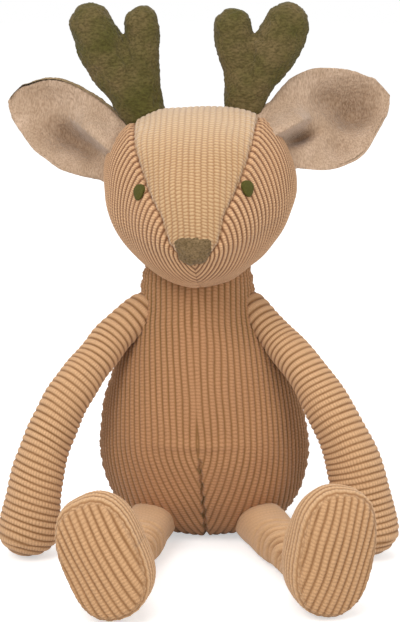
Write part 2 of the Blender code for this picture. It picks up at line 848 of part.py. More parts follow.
def arm_line(side, controls):
    """Points and directions down the middle of the arm, which is one smooth bend."""
    start = shoulder_point(side) + shoulder_normal(side) * SHOULDER_RAISE
    neck = Vector((0.0, 0.0, NECK_HEIGHT))
    points = [start] + [neck + Vector(control) for control in controls]
    line = []
    for section in range(ARM_SECTIONS + 1):
        share = section / ARM_SECTIONS
        level = points
        while len(level) > 2:
            level = [one.lerp(other, share) for one, other in zip(level, level[1:])]
        line.append((level[0].lerp(level[1], share), (level[1] - level[0]).normalized(), share))
    return line


def arm_ring(middle, direction, radius):
    across = direction.cross(Vector((0.0, 1.0, 0.0))).normalized()
    beyond = direction.cross(across)
    ring = []
    for side in range(ARM_SIDES):
        angle = math.tau * side / ARM_SIDES
        outward = across * math.cos(angle) + beyond * math.sin(angle)
        ring.append(middle + outward * radius)
    return ring


def arm_cap(middle, direction, radius, outward):
    """Rings over a rounded end of the arm, from its edge towards its tip."""
    rings = []
    for share, reach in CAP_SHARES:
        place = middle + direction * (outward * ARM_CAP_LENGTH * reach)
        rings.append(arm_ring(place, direction, radius * share))
    return rings


def arm_form(side, controls):
    """The arm as a closed tube that swells towards its blunt end."""
    line = arm_line(side, controls)
    first, start, _ = line[0]
    last, finish, _ = line[-1]
    rings = list(reversed(arm_cap(first, start, ARM_ROOT_RADIUS, -1)))
    for middle, direction, share in line:
        radius = ARM_ROOT_RADIUS + (ARM_END_RADIUS - ARM_ROOT_RADIUS) * share
        rings.append(arm_ring(middle, direction, radius))
    rings += arm_cap(last, finish, ARM_END_RADIUS, 1)
    return loft(rings, start=first - start * ARM_CAP_LENGTH, end=last + finish * ARM_CAP_LENGTH)


def make_arm(name, side, controls, body_pivot):
    """An arm that lies flat against the body at the shoulder, where it is sewn on."""
    shoulder = shoulder_point(side)
    normal = shoulder_normal(side)
    pivot = make_pivot(name + "_hinge", shoulder, -side * normal, body_pivot)
    filling = arm_form(side, controls)
    cover = cloth_over(filling.copy(), filling.copy(), CORDUROY)
    cut_flat(cover, shoulder, normal, SHOULDER_REACH)
    add_piece(cover, name + "_cover", "corduroy", pivot)
    shrink(filling, CORDUROY + FILLING_GAP)
    cut_flat(filling, shoulder + normal * FILLING_GAP, normal, SHOULDER_REACH)
    add_piece(filling, name + "_stuffing", "filling", pivot)


# Legs

def body_front_y(across, height):
    """Where the front panel's facets lie at a place across it and a height."""
    rings = body_rings()
    above = next(index for index, ring in enumerate(rings) if ring[0].z > height)
    low, high = rings[above - 1], rings[above]
    share = (height - low[0].z) / (high[0].z - low[0].z)
    ring = [one.lerp(other, share) for one, other in zip(low, high)]
    front = ring[BODY_COLUMNS // 2:] + ring[:1]
    right = max(index for index, point in enumerate(front[:-1]) if point.x <= across)
    one, other = front[right], front[right + 1]
    return one.lerp(other, (across - one.x) / (other.x - one.x)).y


def hip_point(side, yaw):
    """Middle of the hip seam, just clear of the body's front along the whole root."""
    angle = math.radians(yaw)
    half_root = LEG_SHARES[0][1] * LEG_HALF_WIDTH
    places = []
    for place in HIP_PLACES:
        across = side * (HIP_X + place * half_root * math.cos(angle))
        along = place * half_root * math.sin(angle)
        front = min(body_front_y(across, HIP_HEIGHT), body_front_y(across, HIP_HEIGHT + HIP_EDGE))
        places.append(front - HIP_ROOM - along)
    return Vector((side * HIP_X, min(places), HIP_HEIGHT))


def leg_frame(side, yaw):
    """The leg's own frame: origin at the hip seam, leg along -Y, toes up."""
    turn = Matrix.Rotation(side * math.radians(yaw), 4, "Z")
    return Matrix.Translation(hip_point(side, yaw)) @ turn


def leg_section(shares, side, lean, pitch):
    """One ring of the leg and foot in the leg's frame."""
    along, leg_width, leg_height, foot_width, foot_length, rise = shares
    half_width = leg_width * LEG_HALF_WIDTH + foot_width * FOOT_HALF_WIDTH
    half_height = leg_height * LEG_HALF_HEIGHT + foot_length * FOOT_HALF_LENGTH
    half_height = max(half_height, HIP_EDGE)
    lift = Vector((0.0, -along * LEG_LENGTH, rise * FOOT_RISE))
    tip = Matrix.Rotation(-math.radians(pitch) * rise, 3, "X")
    tip = tip @ Matrix.Rotation(side * math.radians(lean) * rise, 3, "Y")
    ring = []
    for step in range(LEG_SIDES):
        angle = math.tau * step / LEG_SIDES
        across = math.copysign(abs(math.cos(angle)) ** FOOT_SQUARENESS, math.cos(angle))
        upward = math.copysign(abs(math.sin(angle)) ** FOOT_SQUARENESS, math.sin(angle))
        ring.append(lift + tip @ Vector((half_width * across, 0.0, half_height * upward)))
    return ring


def sole_point(share, step, side, lean, pitch):
    """A point on the crowned sole: share 1 at its seam, 0 at its middle."""
    edge = leg_section(LEG_SHARES[-1], side, lean, pitch)
    crown = sole_direction(pitch) * (SOLE_CROWN * (1 - share * share))
    return middle_of(edge).lerp(edge[step], share) + crown


def sole_direction(pitch):
    """The way the sole faces, in the leg's frame."""
    return Matrix.Rotation(-math.radians(pitch), 3, "X") @ Vector((0.0, -1.0, 0.0))


def leg_form(first, side, lean, pitch, reach):
    """The leg from one of its sections to the sole's seam, run on past it by a reach."""
    sections = [leg_section(shares, side, lean, pitch) for shares in LEG_SHARES]
    beyond = sole_direction(pitch) * reach
    sections.append([point + beyond for point in sections[-1]])
    root = middle_of(sections[max(first - 1, 0)])
    return loft(sections[first:], start=root, end=middle_of(sections[-1]))


def make_leg(name, side, yaw, lean, pitch, body_pivot):
    """A leg whose cover is sewn flat at the hip and open at the foot, where the sole closes it."""
    frame = leg_frame(side, yaw)
    pivot = make_pivot(name + "_hinge", frame.translation, -frame.col[0].xyz, body_pivot)
    outward = sole_direction(pitch)
    rim = middle_of(leg_section(LEG_SHARES[-1], side, lean, pitch))
    outer = leg_form(0, side, lean, pitch, SOLE_CROWN)
    inner = leg_form(PINCHED_SECTIONS, side, lean, pitch, SOLE_CROWN)
    cover = cloth_over(outer, inner, CORDUROY)
    cut_flat(cover, rim + outward * FOOT_RIM, -outward)
    bmesh.ops.transform(cover, matrix=frame, verts=cover.verts)
    add_piece(cover, name + "_cover", "corduroy", pivot)
    rings = [
        [sole_point(share, step, side, lean, pitch) for step in range(LEG_SIDES)]
        for share in (1.0, SOLE_RING_SHARE)
    ]
    sole = loft(rings, end=sole_point(0.0, 0, side, lean, pitch))
    bmesh.ops.translate(sole, verts=sole.verts, vec=outward * (FOOT_RIM + CORDUROY + SEAM_GAP))
    bmesh.ops.transform(sole, matrix=frame, verts=sole.verts)
    face_outward(sole, frame.translation)
    sole_name = name.replace("leg", "foot") + "_sole"
    give_thickness(add_piece(sole, sole_name, "corduroy", pivot), CORDUROY)
    filling = leg_form(PINCHED_SECTIONS, side, lean, pitch, SOLE_CROWN)
    shrink(filling, CORDUROY + FILLING_GAP)
    cut_flat(filling, rim, -outward)
    bmesh.ops.transform(filling, matrix=frame, verts=filling.verts)
    add_piece(filling, name + "_stuffing", "filling", pivot)


# The whole deer

clear_scene()
PARTS = make_collection("plush_deer")
CUTTERS = make_collection("plush_deer_cutters")
body = make_pivot("body_frame", Vector(), Vector((0.0, 0.0, 1.0)))
make_body(body)
head = make_pivot("head_hinge", neck_point(), head_frame().col[0].xyz, body)
make_gusset(head)
make_head_side("head_side_left", 1, head)
make_head_side("head_side_right", -1, head)
make_head_stuffing(head)
make_face(head)
make_ear("ear_left", 1, head)
make_ear("ear_right", -1, head)
make_antler("antler_left", 1, head)
make_antler("antler_right", -1, head)
make_arm("arm_left", 1, LEFT_ARM_LINE, body)
make_arm("arm_right", -1, RIGHT_ARM_LINE, body)
make_leg("leg_left", 1, LEFT_LEG_YAW, LEFT_FOOT_LEAN, LEFT_FOOT_PITCH, body)
make_leg("leg_right", -1, RIGHT_LEG_YAW, RIGHT_FOOT_LEAN, RIGHT_FOOT_PITCH, body)
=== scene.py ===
"""Looks of the seated plush deer: ribbed corduroy panels, short plush, seams and a studio.

Metres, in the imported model's frame: +Z up, face to -Y, the deer's own left is +X.
"""

import json
import math

import bpy
import numpy as np
from mathutils import Matrix, Vector


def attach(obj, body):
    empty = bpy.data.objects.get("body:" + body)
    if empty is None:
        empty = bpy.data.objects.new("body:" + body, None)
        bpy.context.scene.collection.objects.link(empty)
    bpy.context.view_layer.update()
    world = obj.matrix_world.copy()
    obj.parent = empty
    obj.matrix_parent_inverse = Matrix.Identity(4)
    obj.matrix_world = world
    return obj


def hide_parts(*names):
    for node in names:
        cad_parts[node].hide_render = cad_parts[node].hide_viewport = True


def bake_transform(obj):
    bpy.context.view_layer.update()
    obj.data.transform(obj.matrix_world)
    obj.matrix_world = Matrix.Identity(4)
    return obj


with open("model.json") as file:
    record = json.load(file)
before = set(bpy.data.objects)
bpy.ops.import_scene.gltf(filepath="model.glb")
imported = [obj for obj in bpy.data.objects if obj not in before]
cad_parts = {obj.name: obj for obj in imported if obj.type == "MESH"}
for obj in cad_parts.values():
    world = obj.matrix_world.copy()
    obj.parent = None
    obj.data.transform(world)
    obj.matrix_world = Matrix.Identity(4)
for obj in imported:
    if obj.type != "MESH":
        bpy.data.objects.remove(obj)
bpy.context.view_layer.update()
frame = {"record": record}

TINY = 1e-9
SIDES = {"left": 1, "right": -1}
WHITE = (1.0, 1.0, 1.0, 1.0)
SEED = 7
LINE_SAMPLES = 400
INSIDE_STEP = 0.05

# Curve from the numbers of a colour to its light
COLOUR_RANGE = 255
GAMMA = 2.4
GAMMA_OFFSET = 0.055
GAMMA_START = 0.04045
GAMMA_SLOPE = 12.92

# Cloth
CORD_PITCH = 0.0042
HEAD_CORD_PITCH = 0.0037
SOLE_CORD_PITCH = 0.0043
CORD_RELIEF_SHARE = 0.28
CORD_ROUNDNESS = 0.48
CORD_WOBBLE = 0.10
BEAD_PITCH = 0.0021
BEAD_RELIEF_SHARE = 0.22
BEAD_OFFSET = 0.34
BEAD_WOBBLE = 0.20
BEAD_WOBBLE_SIZE = 0.012
BEAD_OFFSET_TURN = 2.4
CORD_LIFT_SHARE = 0.60
HEM_DEPTH = 0.0026
SEAM_DIP = 0.0017
SEAM_WIDTH = 0.0019
PUCKER_PITCH = 0.0058
PUCKER_RELIEF = 0.00035
PUCKER_REACH = 0.0050
SIDE_PUCKER_PITCH = 0.0135
SIDE_PUCKER_RELIEF = 0.0016
SIDE_PUCKER_REACH = 0.0120
LUMP_RELIEF = 0.0005
LUMP_SIZE = 0.030
LUMP_WAVES = 6
LUMP_SPREAD = (0.7, 1.5)

# Grid steps: across the cords, along them, and where cords cross a grid at a slant
FINE_STEP = 0.00045
LONG_STEP = 0.00062

# Body
BODY_SEAM_Y = 0.004
BODY_HALF_WIDTH = 0.0655
BODY_FRONT = 0.060
BODY_BACK = 0.043
BODY_LEAN = -0.005
NECK_HEIGHT = 0.140
DART_TOP = 0.062
DART_LEAN = -0.0035
DART_SLOPE = 0.40
DART_REACH = 0.060
DART_ONSET = 0.0030
DART_DEPTH = 0.0026
DART_WIDTH = 0.0011
DART_ZIGZAG = 0.0012
DART_ZIGZAG_PITCH = 0.0084
DART_CORD_SHIFT = 0.5
BODY_WIDEST = 0.47
TRIAL_ROWS = 300
TRIAL_COLUMNS = 200
BODY_CORD_STRENGTH = 0.85
SIDE_CORD_STRENGTH = 0.80
SIDE_CORD_REACH = 0.030
NECK_BEND = ((-0.005, 0.004, 0.142), (-0.005, 0.004, 0.172))

# Crease over the dart: height, thickness, reach to the sides and rise
BELLY_FOLD = (0.0690, 0.0030, 0.026, 0.0015)

# Panels of the body: first and last quarter turn, that of the middle cord, and what they hold
BODY_PANELS = (
    ("body_front", 2, 4, 3, ("body_stuffing", "pellet_bag")),
    ("body_back_left", 0, 1, 1, ()),
    ("body_back_right", 1, 2, 1, ()),
)

# Body profile: place along it, height, and shares of half width, front and back depth
BODY_PROFILE = (
    (0.00, 0.0000, 0.02, 0.02, 0.02),
    (0.13, 0.0004, 0.52, 0.37, 0.60),
    (0.17, 0.0045, 0.66, 0.51, 0.76),
    (0.21, 0.0110, 0.80, 0.67, 0.86),
    (0.27, 0.0210, 0.895, 0.80, 0.92),
    (0.36, 0.0370, 0.98, 0.93, 0.98),
    (0.47, 0.0575, 1.02, 1.00, 1.00),
    (0.58, 0.0780, 0.977, 0.975, 0.97),
    (0.70, 0.1000, 0.878, 0.883, 0.895),
    (0.81, 0.1200, 0.763, 0.775, 0.835),
    (0.90, 0.1370, 0.626, 0.655, 0.83),
    (0.93, 0.1480, 0.560, 0.61, 0.80),
    (0.955, 0.1600, 0.535, 0.57, 0.78),
    (0.98, 0.1740, 0.49, 0.50, 0.70),
    (1.00, 0.1930, 0.42, 0.42, 0.58),
)

# Head
HEAD_CENTRE = (-0.0035, -0.005, 0.218)
HEAD_HALF_WIDTH = 0.0590
HEAD_HALF_DEPTH = 0.0550
HEAD_CROWN_HEIGHT = 0.0530
HEAD_JAW_HEIGHT = 0.0550
HEAD_CROWN_FULLNESS = 2.6
HEAD_JAW_FULLNESS = 1.72
HEAD_YAW = -4.0
HEAD_ROLL = -2.6
MUZZLE_REACH = 0.0195
MUZZLE_SPREAD = 38.0
MUZZLE_DROP = 21.0
TURN_CROWDING = 0.35
CORD_POLE_DROP = 24.0
CORD_RING_RISE = 0.3
CORD_RING_SHARES = (0.8, 0.9)
CHIN_POINT_RELIEF = 0.0090
CHIN_POINT_WIDTH = 0.0090
CHIN_POINT_FADE = 16.0
CHIN_SEAM_SHARE = 0.3
CHEEK_COLUMNS = 820
CHEEK_ROWS = 190
CHEEK_LINE_POINTS = 241
GUSSET_ROWS = 560
GUSSET_COLUMNS = 270
GUSSET_CORD_STRENGTH = 0.75
GUSSET_BEADS = 0.62
CROWN_BEADS = 0.15
CROWN_START = (28.0, 62.0)
# Painted light on the crown: the share by which its cloth turns pale and its grooves fade towards the top
CROWN_HIGHLIGHT = 0.15
GUSSET_BEAD_PITCH = 0.00205
CHEEK_CORD_STRENGTH = 1.15

# Lean of the forehead panel's seams at turns round the head, in degrees
GUSSET_SEAM = (
    (-27.0, 0.0),
    (-20.0, 9.0),
    (-3.0, 17.0),
    (7.0, 24.0),
    (28.0, 33.0),
    (66.0, 39.0),
    (90.0, 40.0),
    (120.0, 38.0),
    (150.0, 31.0),
    (180.0, 24.0),
    (210.0, 13.0),
    (238.0, 2.0),
    (244.0, 0.0),
)

# Arms and legs
ARM_SIDES = 176
ARM_CAP_ROWS = 20
ARM_CAP_POWER = 2.4
ARM_TIP_SHARE = 0.0004
ARM_CAP_LENGTH = 0.0085
ARM_CAP_ROUND = 0.0170
ARM_BEND_BACK = 0.004
ARM_BEND_LENGTH = 0.020
ARM_BEND_ROW = 3
RING_TILT = 0.10
RING_PLACES = (0.0, 0.12, 0.25, 0.5, 0.8)
SLANT_PLACES = (0.3, 0.55)

# Middle lines of the arms: places across, deep and high, and a radius, from inside the neck to the paw
LEFT_ARM_LINE = (
    (0.0205, 0.0000, 0.1520, 0.0095), (0.0306, -0.0080, 0.1438, 0.0100), (0.0455, -0.0190, 0.1276, 0.0108),
    (0.0606, -0.0330, 0.1119, 0.0126), (0.0722, -0.0420, 0.0952, 0.0140), (0.0842, -0.0500, 0.0739, 0.0153),
    (0.0921, -0.0540, 0.0516, 0.0173), (0.0994, -0.0570, 0.0186, 0.0186), (0.1008, -0.0575, 0.0105, 0.0186),
)
RIGHT_ARM_LINE = (
    (-0.0310, 0.0000, 0.1508, 0.0098), (-0.0408, -0.0080, 0.1430, 0.0108), (-0.0567, -0.0190, 0.1299, 0.0115),
    (-0.0737, -0.0330, 0.1112, 0.0126), (-0.0881, -0.0430, 0.0910, 0.0138),
    (-0.0977, -0.0500, 0.0676, 0.0150),
    (-0.1040, -0.0540, 0.0446, 0.0166), (-0.1087, -0.0570, 0.0186, 0.0181),
    (-0.1097, -0.0575, 0.0105, 0.0181),
)

# Each arm: its line, its cords' pitch at the ring places as shares of the cloth's, and their slant
ARMS = {
    "left": (LEFT_ARM_LINE, (1.50, 1.04, 0.90, 0.85, 0.88), -0.04),
    "right": (RIGHT_ARM_LINE, (1.45, 1.20, 0.97, 0.88, 0.94), -0.17),
}

# Legs
LEG_LENGTH = 0.1339
LEG_HALF_WIDTH = 0.0138
LEG_HALF_HEIGHT = 0.0125
FOOT_HALF_WIDTH = 0.0232
FOOT_HALF_LENGTH = 0.0365
FOOT_SQUARENESS = 0.78
FOOT_RISE = 0.0220
FOOT_RIM = 0.0026
RIM_START = 0.95
RIM_LENGTH = 0.05
SOLE_CROWN = 0.0060
SOLE_FULLNESS = 2.2
SOLE_MIDDLE = 0.004
SOLE_ROWS = 84
LEG_SIDES = 240
SOLE_SIDES = 300
LEG_BEND_BACK = 0.010
LEG_BEND_FRONT = 0.014
WRINKLE_SPREAD = 62.0
# Painted shade in the legs' creases: its strength for each metre of crease depth, and its most
WRINKLE_SHADE = 420.0
DARKEST_WRINKLE = 0.95
LEG_CORD_STRENGTH = 0.14
FOOT_CORD_STRENGTH = 0.90
FOOT_CORD_START = (0.50, 0.84)
LEG_FADE = 0.85
LEG_KNOBS = 0.06

# Each wrinkle of a leg: place along it, slant round it, depth, width and the angle of its deepest point
LEG_WRINKLES = (
    (0.0350, 0.0030, 0.0012, 0.0016, 120.0), (0.0430, 0.0042, 0.0018, 0.0015, 145.0),
    (0.0505, 0.0050, 0.0022, 0.0014, 130.0), (0.0575, 0.0060, 0.0024, 0.0014, 150.0),
    (0.0645, 0.0065, 0.0024, 0.0014, 135.0), (0.0715, 0.0060, 0.0024, 0.0013, 150.0),
    (0.0785, 0.0065, 0.0022, 0.0013, 130.0), (0.0855, 0.0060, 0.0018, 0.0013, 145.0),
)

# Each leg: yaw, lean and pitch in degrees, share of the foot's length, turn of the sole's cords
LEGS = {
    "left": (16.5, 10.5, 3.0, 1.0, -8.0),
    "right": (10.5, 27.0, 13.0, 0.938, -6.0),
}

# Leg sections as shares: along the leg, of its half width and half height, then of the foot's
# half width and half length, and of the foot's rise
LEG_SHARES = (
    (-0.06, 1.04, 0.96, 0.0, 0.0, -0.08),
    (0.06, 1.06, 1.02, 0.0, 0.0, -0.08),
    (0.24, 1.04, 1.02, 0.0, 0.0, -0.08),
    (0.45, 0.98, 1.00, 0.0, 0.0, -0.07),
    (0.66, 0.97, 1.02, 0.0, 0.0, -0.01),
    (0.725, 0.60, 0.62, 0.37, 0.32, 0.26),
    (0.78, 0.23, 0.23, 0.75, 0.68, 0.64),
    (0.84, 0.0, 0.0, 0.96, 0.92, 0.90),
    (0.91, 0.0, 0.0, 1.0, 1.0, 1.0),
    (0.96, 0.0, 0.0, 1.0, 1.0, 1.0),
    (1.0, 0.0, 0.0, 0.96, 0.97, 1.0),
)

# Pile of the plush pieces
TUFT_SIZE = 0.0012
BROAD_TUFT_SIZE = 0.0030
HASH_STEPS = (73856093, 19349663, 83492791)
HASH_SHIFTS = (13, 15)
HASH_FACTOR = 1274126177
HASH_MASK = 0x7FFFFFFF
HASH_RANGE = 0xFFFF
FOLD_FADE = 0.7
FOLD_WRAP = 0.4

# Antlers, in the head's own frame from its centre: places across, heights and radii
ANTLER_PLANE_Y = 0.0078
ANTLER_DEPTH_SHARE = 0.80
ANTLER_VOXEL = 0.0012
ANTLER_SMOOTHING = 10
ANTLER_RELAX = 0.5
ANTLER_NAP = 0.00075
ANTLER_LUMP = 0.0005
ANTLER_LUMP_SIZE = 0.014
ANTLER_SEAM_DIP = 0.0002
ANTLER_SEAM_WIDTH = 0.0011
ANTLER_BEND = 0.008
TUBE_ROWS = 60
CAP_ROWS = 12
TUBE_SIDES = 48
LEFT_ANTLER = (
    ((0.0572, 0.1005, 0.0135), (0.0508, 0.0881, 0.0151), (0.0416, 0.0757, 0.0143),
     (0.0331, 0.0625, 0.0128), (0.0279, 0.0480, 0.0114)),
    ((0.0242, 0.0997, 0.0120), (0.0247, 0.0891, 0.0118), (0.0274, 0.0763, 0.0106),
     (0.0288, 0.0627, 0.0117), (0.0279, 0.0480, 0.0114)),
)
RIGHT_ANTLER = (
    ((-0.0632, 0.1055, 0.0131), (-0.0581, 0.0918, 0.0151), (-0.0498, 0.0774, 0.0149),
     (-0.0402, 0.0629, 0.0139), (-0.0336, 0.0503, 0.0140)),
    ((-0.0315, 0.1045, 0.0106), (-0.0317, 0.0944, 0.0108), (-0.0326, 0.0823, 0.0110),
     (-0.0345, 0.0701, 0.0124), (-0.0336, 0.0503, 0.0137)),
)
LEFT_ANTLER_FOLDS = (
    ((0.0355, 0.0850), (0.0330, 0.0640), 0.0012, 0.0022),
    ((0.0350, 0.0800), (0.0480, 0.0700), 0.0009, 0.0016),
    ((0.0340, 0.0760), (0.0180, 0.0740), 0.0007, 0.0014),
)
RIGHT_ANTLER_FOLDS = (
    ((-0.0425, 0.0860), (-0.0380, 0.0640), 0.0012, 0.0022),
    ((-0.0430, 0.0830), (-0.0600, 0.0760), 0.0009, 0.0016),
    ((-0.0420, 0.0770), (-0.0250, 0.0730), 0.0008, 0.0014),
)
ANTLERS = {"left": (LEFT_ANTLER, LEFT_ANTLER_FOLDS), "right": (RIGHT_ANTLER, RIGHT_ANTLER_FOLDS)}

# Ears: outlines as places along them and heights, with dents and ridges of the lining
EAR_RISE = 20.0
EAR_SWEEP = 14.0
EAR_HINGE_BACK = 0.0022
EAR_CUP = 0.0085
EAR_CUP_LEVEL = 0.5
EAR_LEAST_HALF = 0.004
EAR_FOLD_DEPTH = 1.7
EAR_FOLD_RANGE = 0.0100
EAR_ROOT_CUP = 0.0030
EAR_THICKNESS = 0.0046
EAR_EDGE_DROP = 0.0016
EAR_EDGE_ROUND = 14.0
EAR_TIP_ROUND = 18.0
EAR_ROLL = 0.50
EAR_BACK_SQUARENESS = 0.45
EAR_TIP_CROWDING = 1.7
EAR_DEEPEST = 0.008
EAR_SHALLOWEST = -0.030
EAR_TUCK = 0.0015
EAR_NAP = 0.0005
EAR_BACK_NAP = 0.0006
EAR_PLEAT_SCALE = 0.010
EAR_BEND = 0.006
RIDGE_RANGE = (-1, 2)
RIDGE_FADE = 7
EAR_TRIES = 60
EAR_ROWS = 170
EAR_COLUMNS = 150
RIGHT_EAR = {
    "length": 0.0736,
    "top": ((0.0, 0.0163), (0.0154, 0.0217), (0.0278, 0.0238), (0.0391, 0.0246), (0.0483, 0.0236),
            (0.0559, 0.0206), (0.0639, 0.0149), (0.0700, 0.0090), (0.0736, 0.0005)),
    "bottom": ((0.0, -0.0238), (0.0090, -0.0254), (0.0175, -0.0265), (0.0243, -0.0268), (0.0350, -0.0244),
               (0.0451, -0.0217), (0.0523, -0.0178), (0.0589, -0.0137), (0.0655, -0.0095),
               (0.0703, -0.0047), (0.0736, 0.0005)),
    "dents": ((0.0310, -0.0065, 0.013, 0.008, 0.0060), (0.0150, -0.0090, 0.012, 0.006, 0.0040),
              (0.0500, 0.0100, 0.014, 0.010, 0.0012)),
    "ridges": (((0.0000, -0.0035), (0.0259, 0.0040), 0.0080, 0.0105, 0.0030),),
    "rim_top": 0.0016,
    "rim_bottom": -0.0016,
    "rim_tip": -0.0010,
}
LEFT_EAR = {
    "length": 0.0738,
    "top": ((0.0, 0.0235), (0.0090, 0.0286), (0.0173, 0.0321), (0.0253, 0.0330), (0.0327, 0.0327),
            (0.0411, 0.0301), (0.0498, 0.0263), (0.0555, 0.0234), (0.0632, 0.0173), (0.0695, 0.0111),
            (0.0738, 0.0000)),
    "bottom": ((0.0, -0.0205), (0.0045, -0.0229), (0.0129, -0.0273), (0.0220, -0.0299), (0.0301, -0.0302),
               (0.0372, -0.0297), (0.0456, -0.0263), (0.0516, -0.0220), (0.0576, -0.0176),
               (0.0637, -0.0133), (0.0686, -0.0085), (0.0738, 0.0000)),
    "dents": ((0.0371, 0.0128, 0.011, 0.008, 0.0030), (0.0482, -0.0044, 0.010, 0.009, 0.0036),
              (0.0300, -0.0194, 0.010, 0.007, 0.0026), (0.0090, -0.0035, 0.010, 0.0036, 0.0062),
              (0.0490, 0.0010, 0.017, 0.014, 0.0056)),
    "ridges": (((0.0000, 0.0030), (0.0172, 0.0052), 0.0080, 0.0100, 0.0022),),
    "rim_top": -0.0012,
    "rim_bottom": -0.0016,
    "rim_tip": -0.0010,
}
EARS = {"left": LEFT_EAR, "right": RIGHT_EAR}

# Face: turn and lean of the nose, half width, half height, taper and thickness, then the eyes the same way
NOSE = (-19.5, 0.0, 0.0104, 0.0087, 0.24, 0.0030)
NOSE_ROUNDNESS = 3.2
NOSE_NAP = 0.0009
EYE_TURN = 9.6
EYE_LEAN = 31.6
EYE_SIZE = (0.0042, 0.0059, 0.26, 0.0016)
EYE_ROUNDNESS = 1.95
EYE_NAP = 0.00012
PATCH_ROWS = 44
PATCH_SIDES = 150
PATCH_DOME = 2.6
PATCH_TUCK = 0.0012
PATCH_TUCK_POWER = 4
THREAD_PITCH = 0.00055

# Corduroy's surface, with the strength and distance of each bump
CORDUROY_ROUGHNESS = 0.92
CORDUROY_SHEEN = 0.18
CORDUROY_SPECULAR = 0.15
CORDUROY_BUMP = (0.5, 0.0004)
GROOVE_SHARPNESS = 5.0
KNOB_SHADE = 0.30
KNOB_SHARPNESS = 2.0
PATCH_SCALE = 34.0
PATCH_DETAIL = 4.0
FIBRE_SCALE = 1900.0
FIBRE_DETAIL = 2.0
FIBRE_ROUGHNESS = 0.12
FIBRE_RELIEF = 0.6
THREAD_RELIEF = -0.5
WORN_START = 0.35
WORN_STRENGTH = 0.9
SPECK_START = 0.62
SPECK_STRENGTH = 0.9
# Painted shade along seams and the dart: its width and darkness
SEAM_SHADE_WIDTH = 0.0013
SEAM_SHADE = 0.55
# Painted shade near the body's side seams: how far it reaches, and how much of it reaches the crests
SIDE_SHADE_REACH = 0.060
SIDE_SHADE_TINT = 0.16

# Colours of the cloths, 0 to 255, with each groove colour as painted shade in the grooves
CLOTHS = {
    "body_cloth": {
        # side: the olive colour of painted shade near the side seams
        "crest": (188, 139, 101), "groove": (136, 97, 58), "worn": (176, 128, 92), "side": (76, 72, 16),
        "knobs": 0.40, "sharpness": 6.0,
    },
    "cheek_cloth": {"crest": (224, 180, 137), "groove": (108, 66, 38), "worn": (208, 161, 120),
                    "sharpness": 3.6},
    "forehead_cloth": {
        "crest": (205, 171, 129), "groove": (150, 106, 66), "worn": (197, 161, 119),
        # The crown's pale colour is painted light falling on the top of the head
        "painted_highlight": (240, 220, 190), "lines": 0.66, "knobs": 0.60, "sheen": 0.50,
    },
    "limb_cloth": {"crest": (219, 176, 134), "groove": (134, 94, 56), "worn": (205, 160, 118)},
    "sole_cloth": {"crest": (205, 162, 120), "groove": (144, 103, 65), "worn": (193, 150, 109)},
    "leg_cloth": {"crest": (216, 176, 134), "groove": (146, 104, 66), "worn": (205, 162, 119), "knobs": 0.2},
}

# Plush's surface, and how each pile lies
PLUSH_ROUGHNESS = 0.88
PLUSH_SHEEN_ROUGHNESS = 0.45
PLUSH_SPECULAR = 0.1
PLUSH_BUMP = (0.8, 0.0008)
TUFT_DETAIL = 4.0
TUFT_RANGE = (0.36, 0.62)
TUFT_ROUGHNESS = 0.1
BRUSH_SCALE = 60.0
BRUSH_DETAIL = 3.0
BRUSH_RANGE = (0.35, 0.68)
# Painted shade in the ears' folds, as a share towards the plush's deep colour
FOLD_SHADE = 0.42
ANTLER_PILE = {"scale": 1150.0, "contrast": 0.60, "sheen": 0.12, "stretch": (0.35, 1.0, 0.7)}
EAR_PILE = {"scale": 1300.0, "contrast": 0.48, "sheen": 0.34, "stretch": (1.0, 1.0, 0.28)}
NOSE_PILE = {"scale": 1300.0, "contrast": 0.75, "sheen": 0.15, "stretch": (0.6, 1.0, 1.0)}

# Each plush: pale, dark and deep colour, 0 to 255, and its pile
PLUSHES = {
    "antler_plush": ((114, 97, 64), (86, 81, 40), (58, 51, 24), ANTLER_PILE),
    "ear_plush": ((202, 174, 149), (184, 156, 130), (126, 98, 72), EAR_PILE),
    "ear_back_plush": ((162, 138, 104), (136, 114, 82), (96, 80, 54), EAR_PILE),
    "nose_plush_pile": ((142, 118, 86), (118, 96, 66), (82, 66, 40), NOSE_PILE),
}

# Stitches of the eyes
EYE_COLOURS = ((93, 88, 34), (46, 48, 12))
THREAD_ROUGHNESS = 0.72
THREAD_SPECULAR = 0.2
THREAD_WAVER = 1.2
THREAD_BUMP = (0.7, 0.0003)
FUZZ_DETAIL = 3.0

# Studio, with the place, size and power of each lamp
FLOOR_SIZE = 12.0
FLOOR_ROUGHNESS = 0.9
FLOOR_COLOUR = (0.80, 0.80, 0.80, 1.0)
FLOOR_GLOW = 0.52
BACKDROP_LIGHT = 1.0
WORLD_LIGHT = 0.60
LAMPS = (
    ("key", (-0.9, -1.6, 1.7), 1.3, 26.0),
    ("fill", (1.2, -1.5, 0.9), 1.4, 10.0),
    ("top", (0.0, 0.1, 2.3), 1.5, 14.0),
)

# Camera, from the photograph's own viewpoint
VIEW_TARGET = (-0.0035, 0.0, 0.142)
VIEW_DISTANCE = 1.150
VIEW_RISE = 12.0
IMAGE_HEIGHT_PIXELS = 622
FOCAL_PIXELS = 1825
SENSOR = 36.0



# Small sums

def linear(colour):
    """A colour of the photograph, 0 to 255, as the shader takes it."""
    share = np.array(colour) / COLOUR_RANGE
    curved = ((share + GAMMA_OFFSET) / (1 + GAMMA_OFFSET)) ** GAMMA
    return tuple(np.where(share > GAMMA_START, curved, share / GAMMA_SLOPE)) + (1.0,)


def unit(vectors):
    return vectors / np.maximum(np.linalg.norm(vectors, axis=-1, keepdims=True), TINY)


def bell(*ratios):
    """Falls smoothly from one, where every ratio is zero, to almost nothing where one of them is two."""
    return np.exp(-sum(ratio ** 2 for ratio in ratios))


def round_turns(count):
    """Angles evenly round a circle."""
    return np.linspace(0, math.tau, count, endpoint=False)


